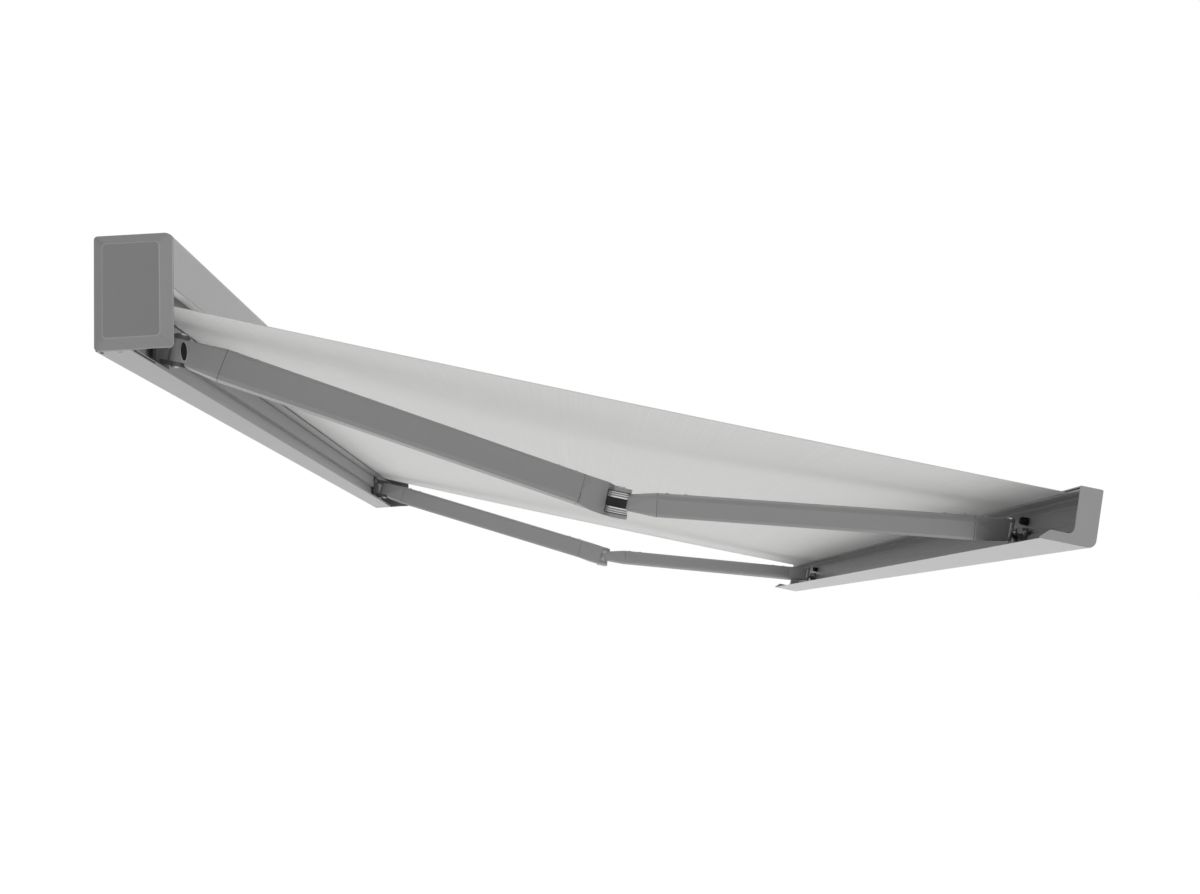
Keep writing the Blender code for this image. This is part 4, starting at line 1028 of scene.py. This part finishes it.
def make_camera(scene):
    """Camera of the photograph: it looks along the awning's width, from below its near end."""
    sight = Vector((math.cos(CAMERA_PITCH) * math.cos(CAMERA_YAW),
                    -math.cos(CAMERA_PITCH) * math.sin(CAMERA_YAW), math.sin(CAMERA_PITCH)))
    level = Vector((-math.sin(CAMERA_YAW), -math.cos(CAMERA_YAW), 0))
    upright = level.cross(sight)
    right = level * math.cos(CAMERA_ROLL) + upright * math.sin(CAMERA_ROLL)
    upward = upright * math.cos(CAMERA_ROLL) - level * math.sin(CAMERA_ROLL)
    lens = bpy.data.cameras.new("camera")
    lens.sensor_width = SENSOR
    lens.lens = SENSOR
    camera = bpy.data.objects.new("camera", lens)
    camera.matrix_world = (Matrix.Translation(CAMERA_PLACE)
                           @ Matrix((right, upward, -sight)).transposed().to_4x4())
    scene.collection.objects.link(camera)
    scene.camera = camera


def make_stage(stage):
    """Floor, world, lamps and camera."""
    scene = bpy.context.scene
    scene.view_settings.view_transform = "Standard"
    make_floor(scene, stage)
    make_world(scene, stage)
    make_lamps(scene, stage)
    make_camera(scene)


class AWNING_OT_metal(Operator):
    """Give every metal and rubber piece its finish"""
    bl_idname = "awning.finish_metal"
    bl_label = "Finish metal"

    def execute(self, context):
        finish_metal(context.scene.awning_metal)
        return {"FINISHED"}


class AWNING_OT_wound(Operator):
    """Make the turns of fabric on the roller"""
    bl_idname = "awning.make_wound_fabric"
    bl_label = "Wound fabric"

    def execute(self, context):
        make_wound_fabric(context.scene.awning_cloth)
        return {"FINISHED"}


class AWNING_OT_canopy(Operator):
    """Make the taut sheet between roller and front rail"""
    bl_idname = "awning.make_canopy"
    bl_label = "Canopy"

    def execute(self, context):
        make_canopy(context.scene.awning_cloth)
        return {"FINISHED"}


class AWNING_OT_rivets(Operator):
    """Make the rivets of the arm tubes"""
    bl_idname = "awning.make_rivets"
    bl_label = "Rivets"

    def execute(self, context):
        make_rivets(context.scene.awning_metal)
        return {"FINISHED"}


class AWNING_OT_seals(Operator):
    """Make the thin seals between tubes and castings"""
    bl_idname = "awning.make_seals"
    bl_label = "Seals"

    def execute(self, context):
        make_seam_rings(context.scene.awning_metal)
        return {"FINISHED"}


class AWNING_OT_bolts(Operator):
    """Make the bolts of the brackets"""
    bl_idname = "awning.make_bolts"
    bl_label = "Bolts"

    def execute(self, context):
        make_bolts(context.scene.awning_metal)
        return {"FINISHED"}


class AWNING_OT_trim(Operator):
    """Make the painted highlight strips under the visor's lip and the painted shade of the underside's
    openings
    """
    bl_idname = "awning.make_cassette_trim"
    bl_label = "Cassette trim"

    def execute(self, context):
        make_cassette_trim(context.scene.awning_metal)
        return {"FINISHED"}


class AWNING_OT_drum(Operator):
    """Make the bands round the elbow drums"""
    bl_idname = "awning.make_drum_bands"
    bl_label = "Drum bands"

    def execute(self, context):
        make_drum_bands(context.scene.awning_metal)
        return {"FINISHED"}


class AWNING_OT_ribs(Operator):
    """Make the pale ribs inside the front rail, painted highlights of its groove's edges"""
    bl_idname = "awning.make_rail_ribs"
    bl_label = "Rail ribs"

    def execute(self, context):
        make_rail_ribs(context.scene.awning_metal)
        return {"FINISHED"}


class AWNING_OT_edges(Operator):
    """Make the panel edges of the end caps"""
    bl_idname = "awning.make_cap_edges"
    bl_label = "Cap edges"

    def execute(self, context):
        make_cap_edges(context.scene.awning_metal)
        return {"FINISHED"}


class AWNING_OT_recess(Operator):
    """Make the recess of each shoulder casting"""
    bl_idname = "awning.make_shoulder_recess"
    bl_label = "Shoulder recess"

    def execute(self, context):
        make_shoulder_recess(context.scene.awning_metal)
        return {"FINISHED"}


class AWNING_OT_stage(Operator):
    """Make the floor, the light and the camera"""
    bl_idname = "awning.make_stage"
    bl_label = "Stage"

    def execute(self, context):
        make_stage(context.scene.awning_stage)
        return {"FINISHED"}


STEPS = (AWNING_OT_metal, AWNING_OT_wound, AWNING_OT_canopy, AWNING_OT_rivets, AWNING_OT_seals,
         AWNING_OT_bolts, AWNING_OT_trim, AWNING_OT_drum, AWNING_OT_ribs, AWNING_OT_edges,
         AWNING_OT_recess, AWNING_OT_stage)
SETTINGS = (("awning_cloth", AwningCloth), ("awning_metal", AwningMetal),
            ("awning_stage", AwningStage))


class AWNING_PT_panel(Panel):
    """Lists the steps that dress the awning"""
    bl_idname = "AWNING_PT_panel"
    bl_label = "Awning"
    bl_space_type = "VIEW_3D"
    bl_region_type = "UI"
    bl_category = "Awning"

    def draw(self, context):
        for name, settings in SETTINGS:
            box = self.layout.box()
            for label in settings.__annotations__:
                box.prop(getattr(context.scene, name), label)
        for step in STEPS:
            self.layout.operator(step.bl_idname)


def register():
    """Add the settings, the operators and the panel."""
    for _, settings in SETTINGS:
        bpy.utils.register_class(settings)
    for name, settings in SETTINGS:
        setattr(bpy.types.Scene, name, PointerProperty(type=settings))
    for made in (*STEPS, AWNING_PT_panel):
        bpy.utils.register_class(made)


def unregister():
    """Take away what register added."""
    for made in (AWNING_PT_panel, *reversed(STEPS)):
        bpy.utils.unregister_class(made)
    for name, settings in reversed(SETTINGS):
        delattr(bpy.types.Scene, name)
        bpy.utils.unregister_class(settings)


def main():
    """Register the add-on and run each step."""
    register()
    for step in STEPS:
        space, name = step.bl_idname.split(".")
        getattr(getattr(bpy.ops, space), name)()


if __name__ == "__main__":
    main()
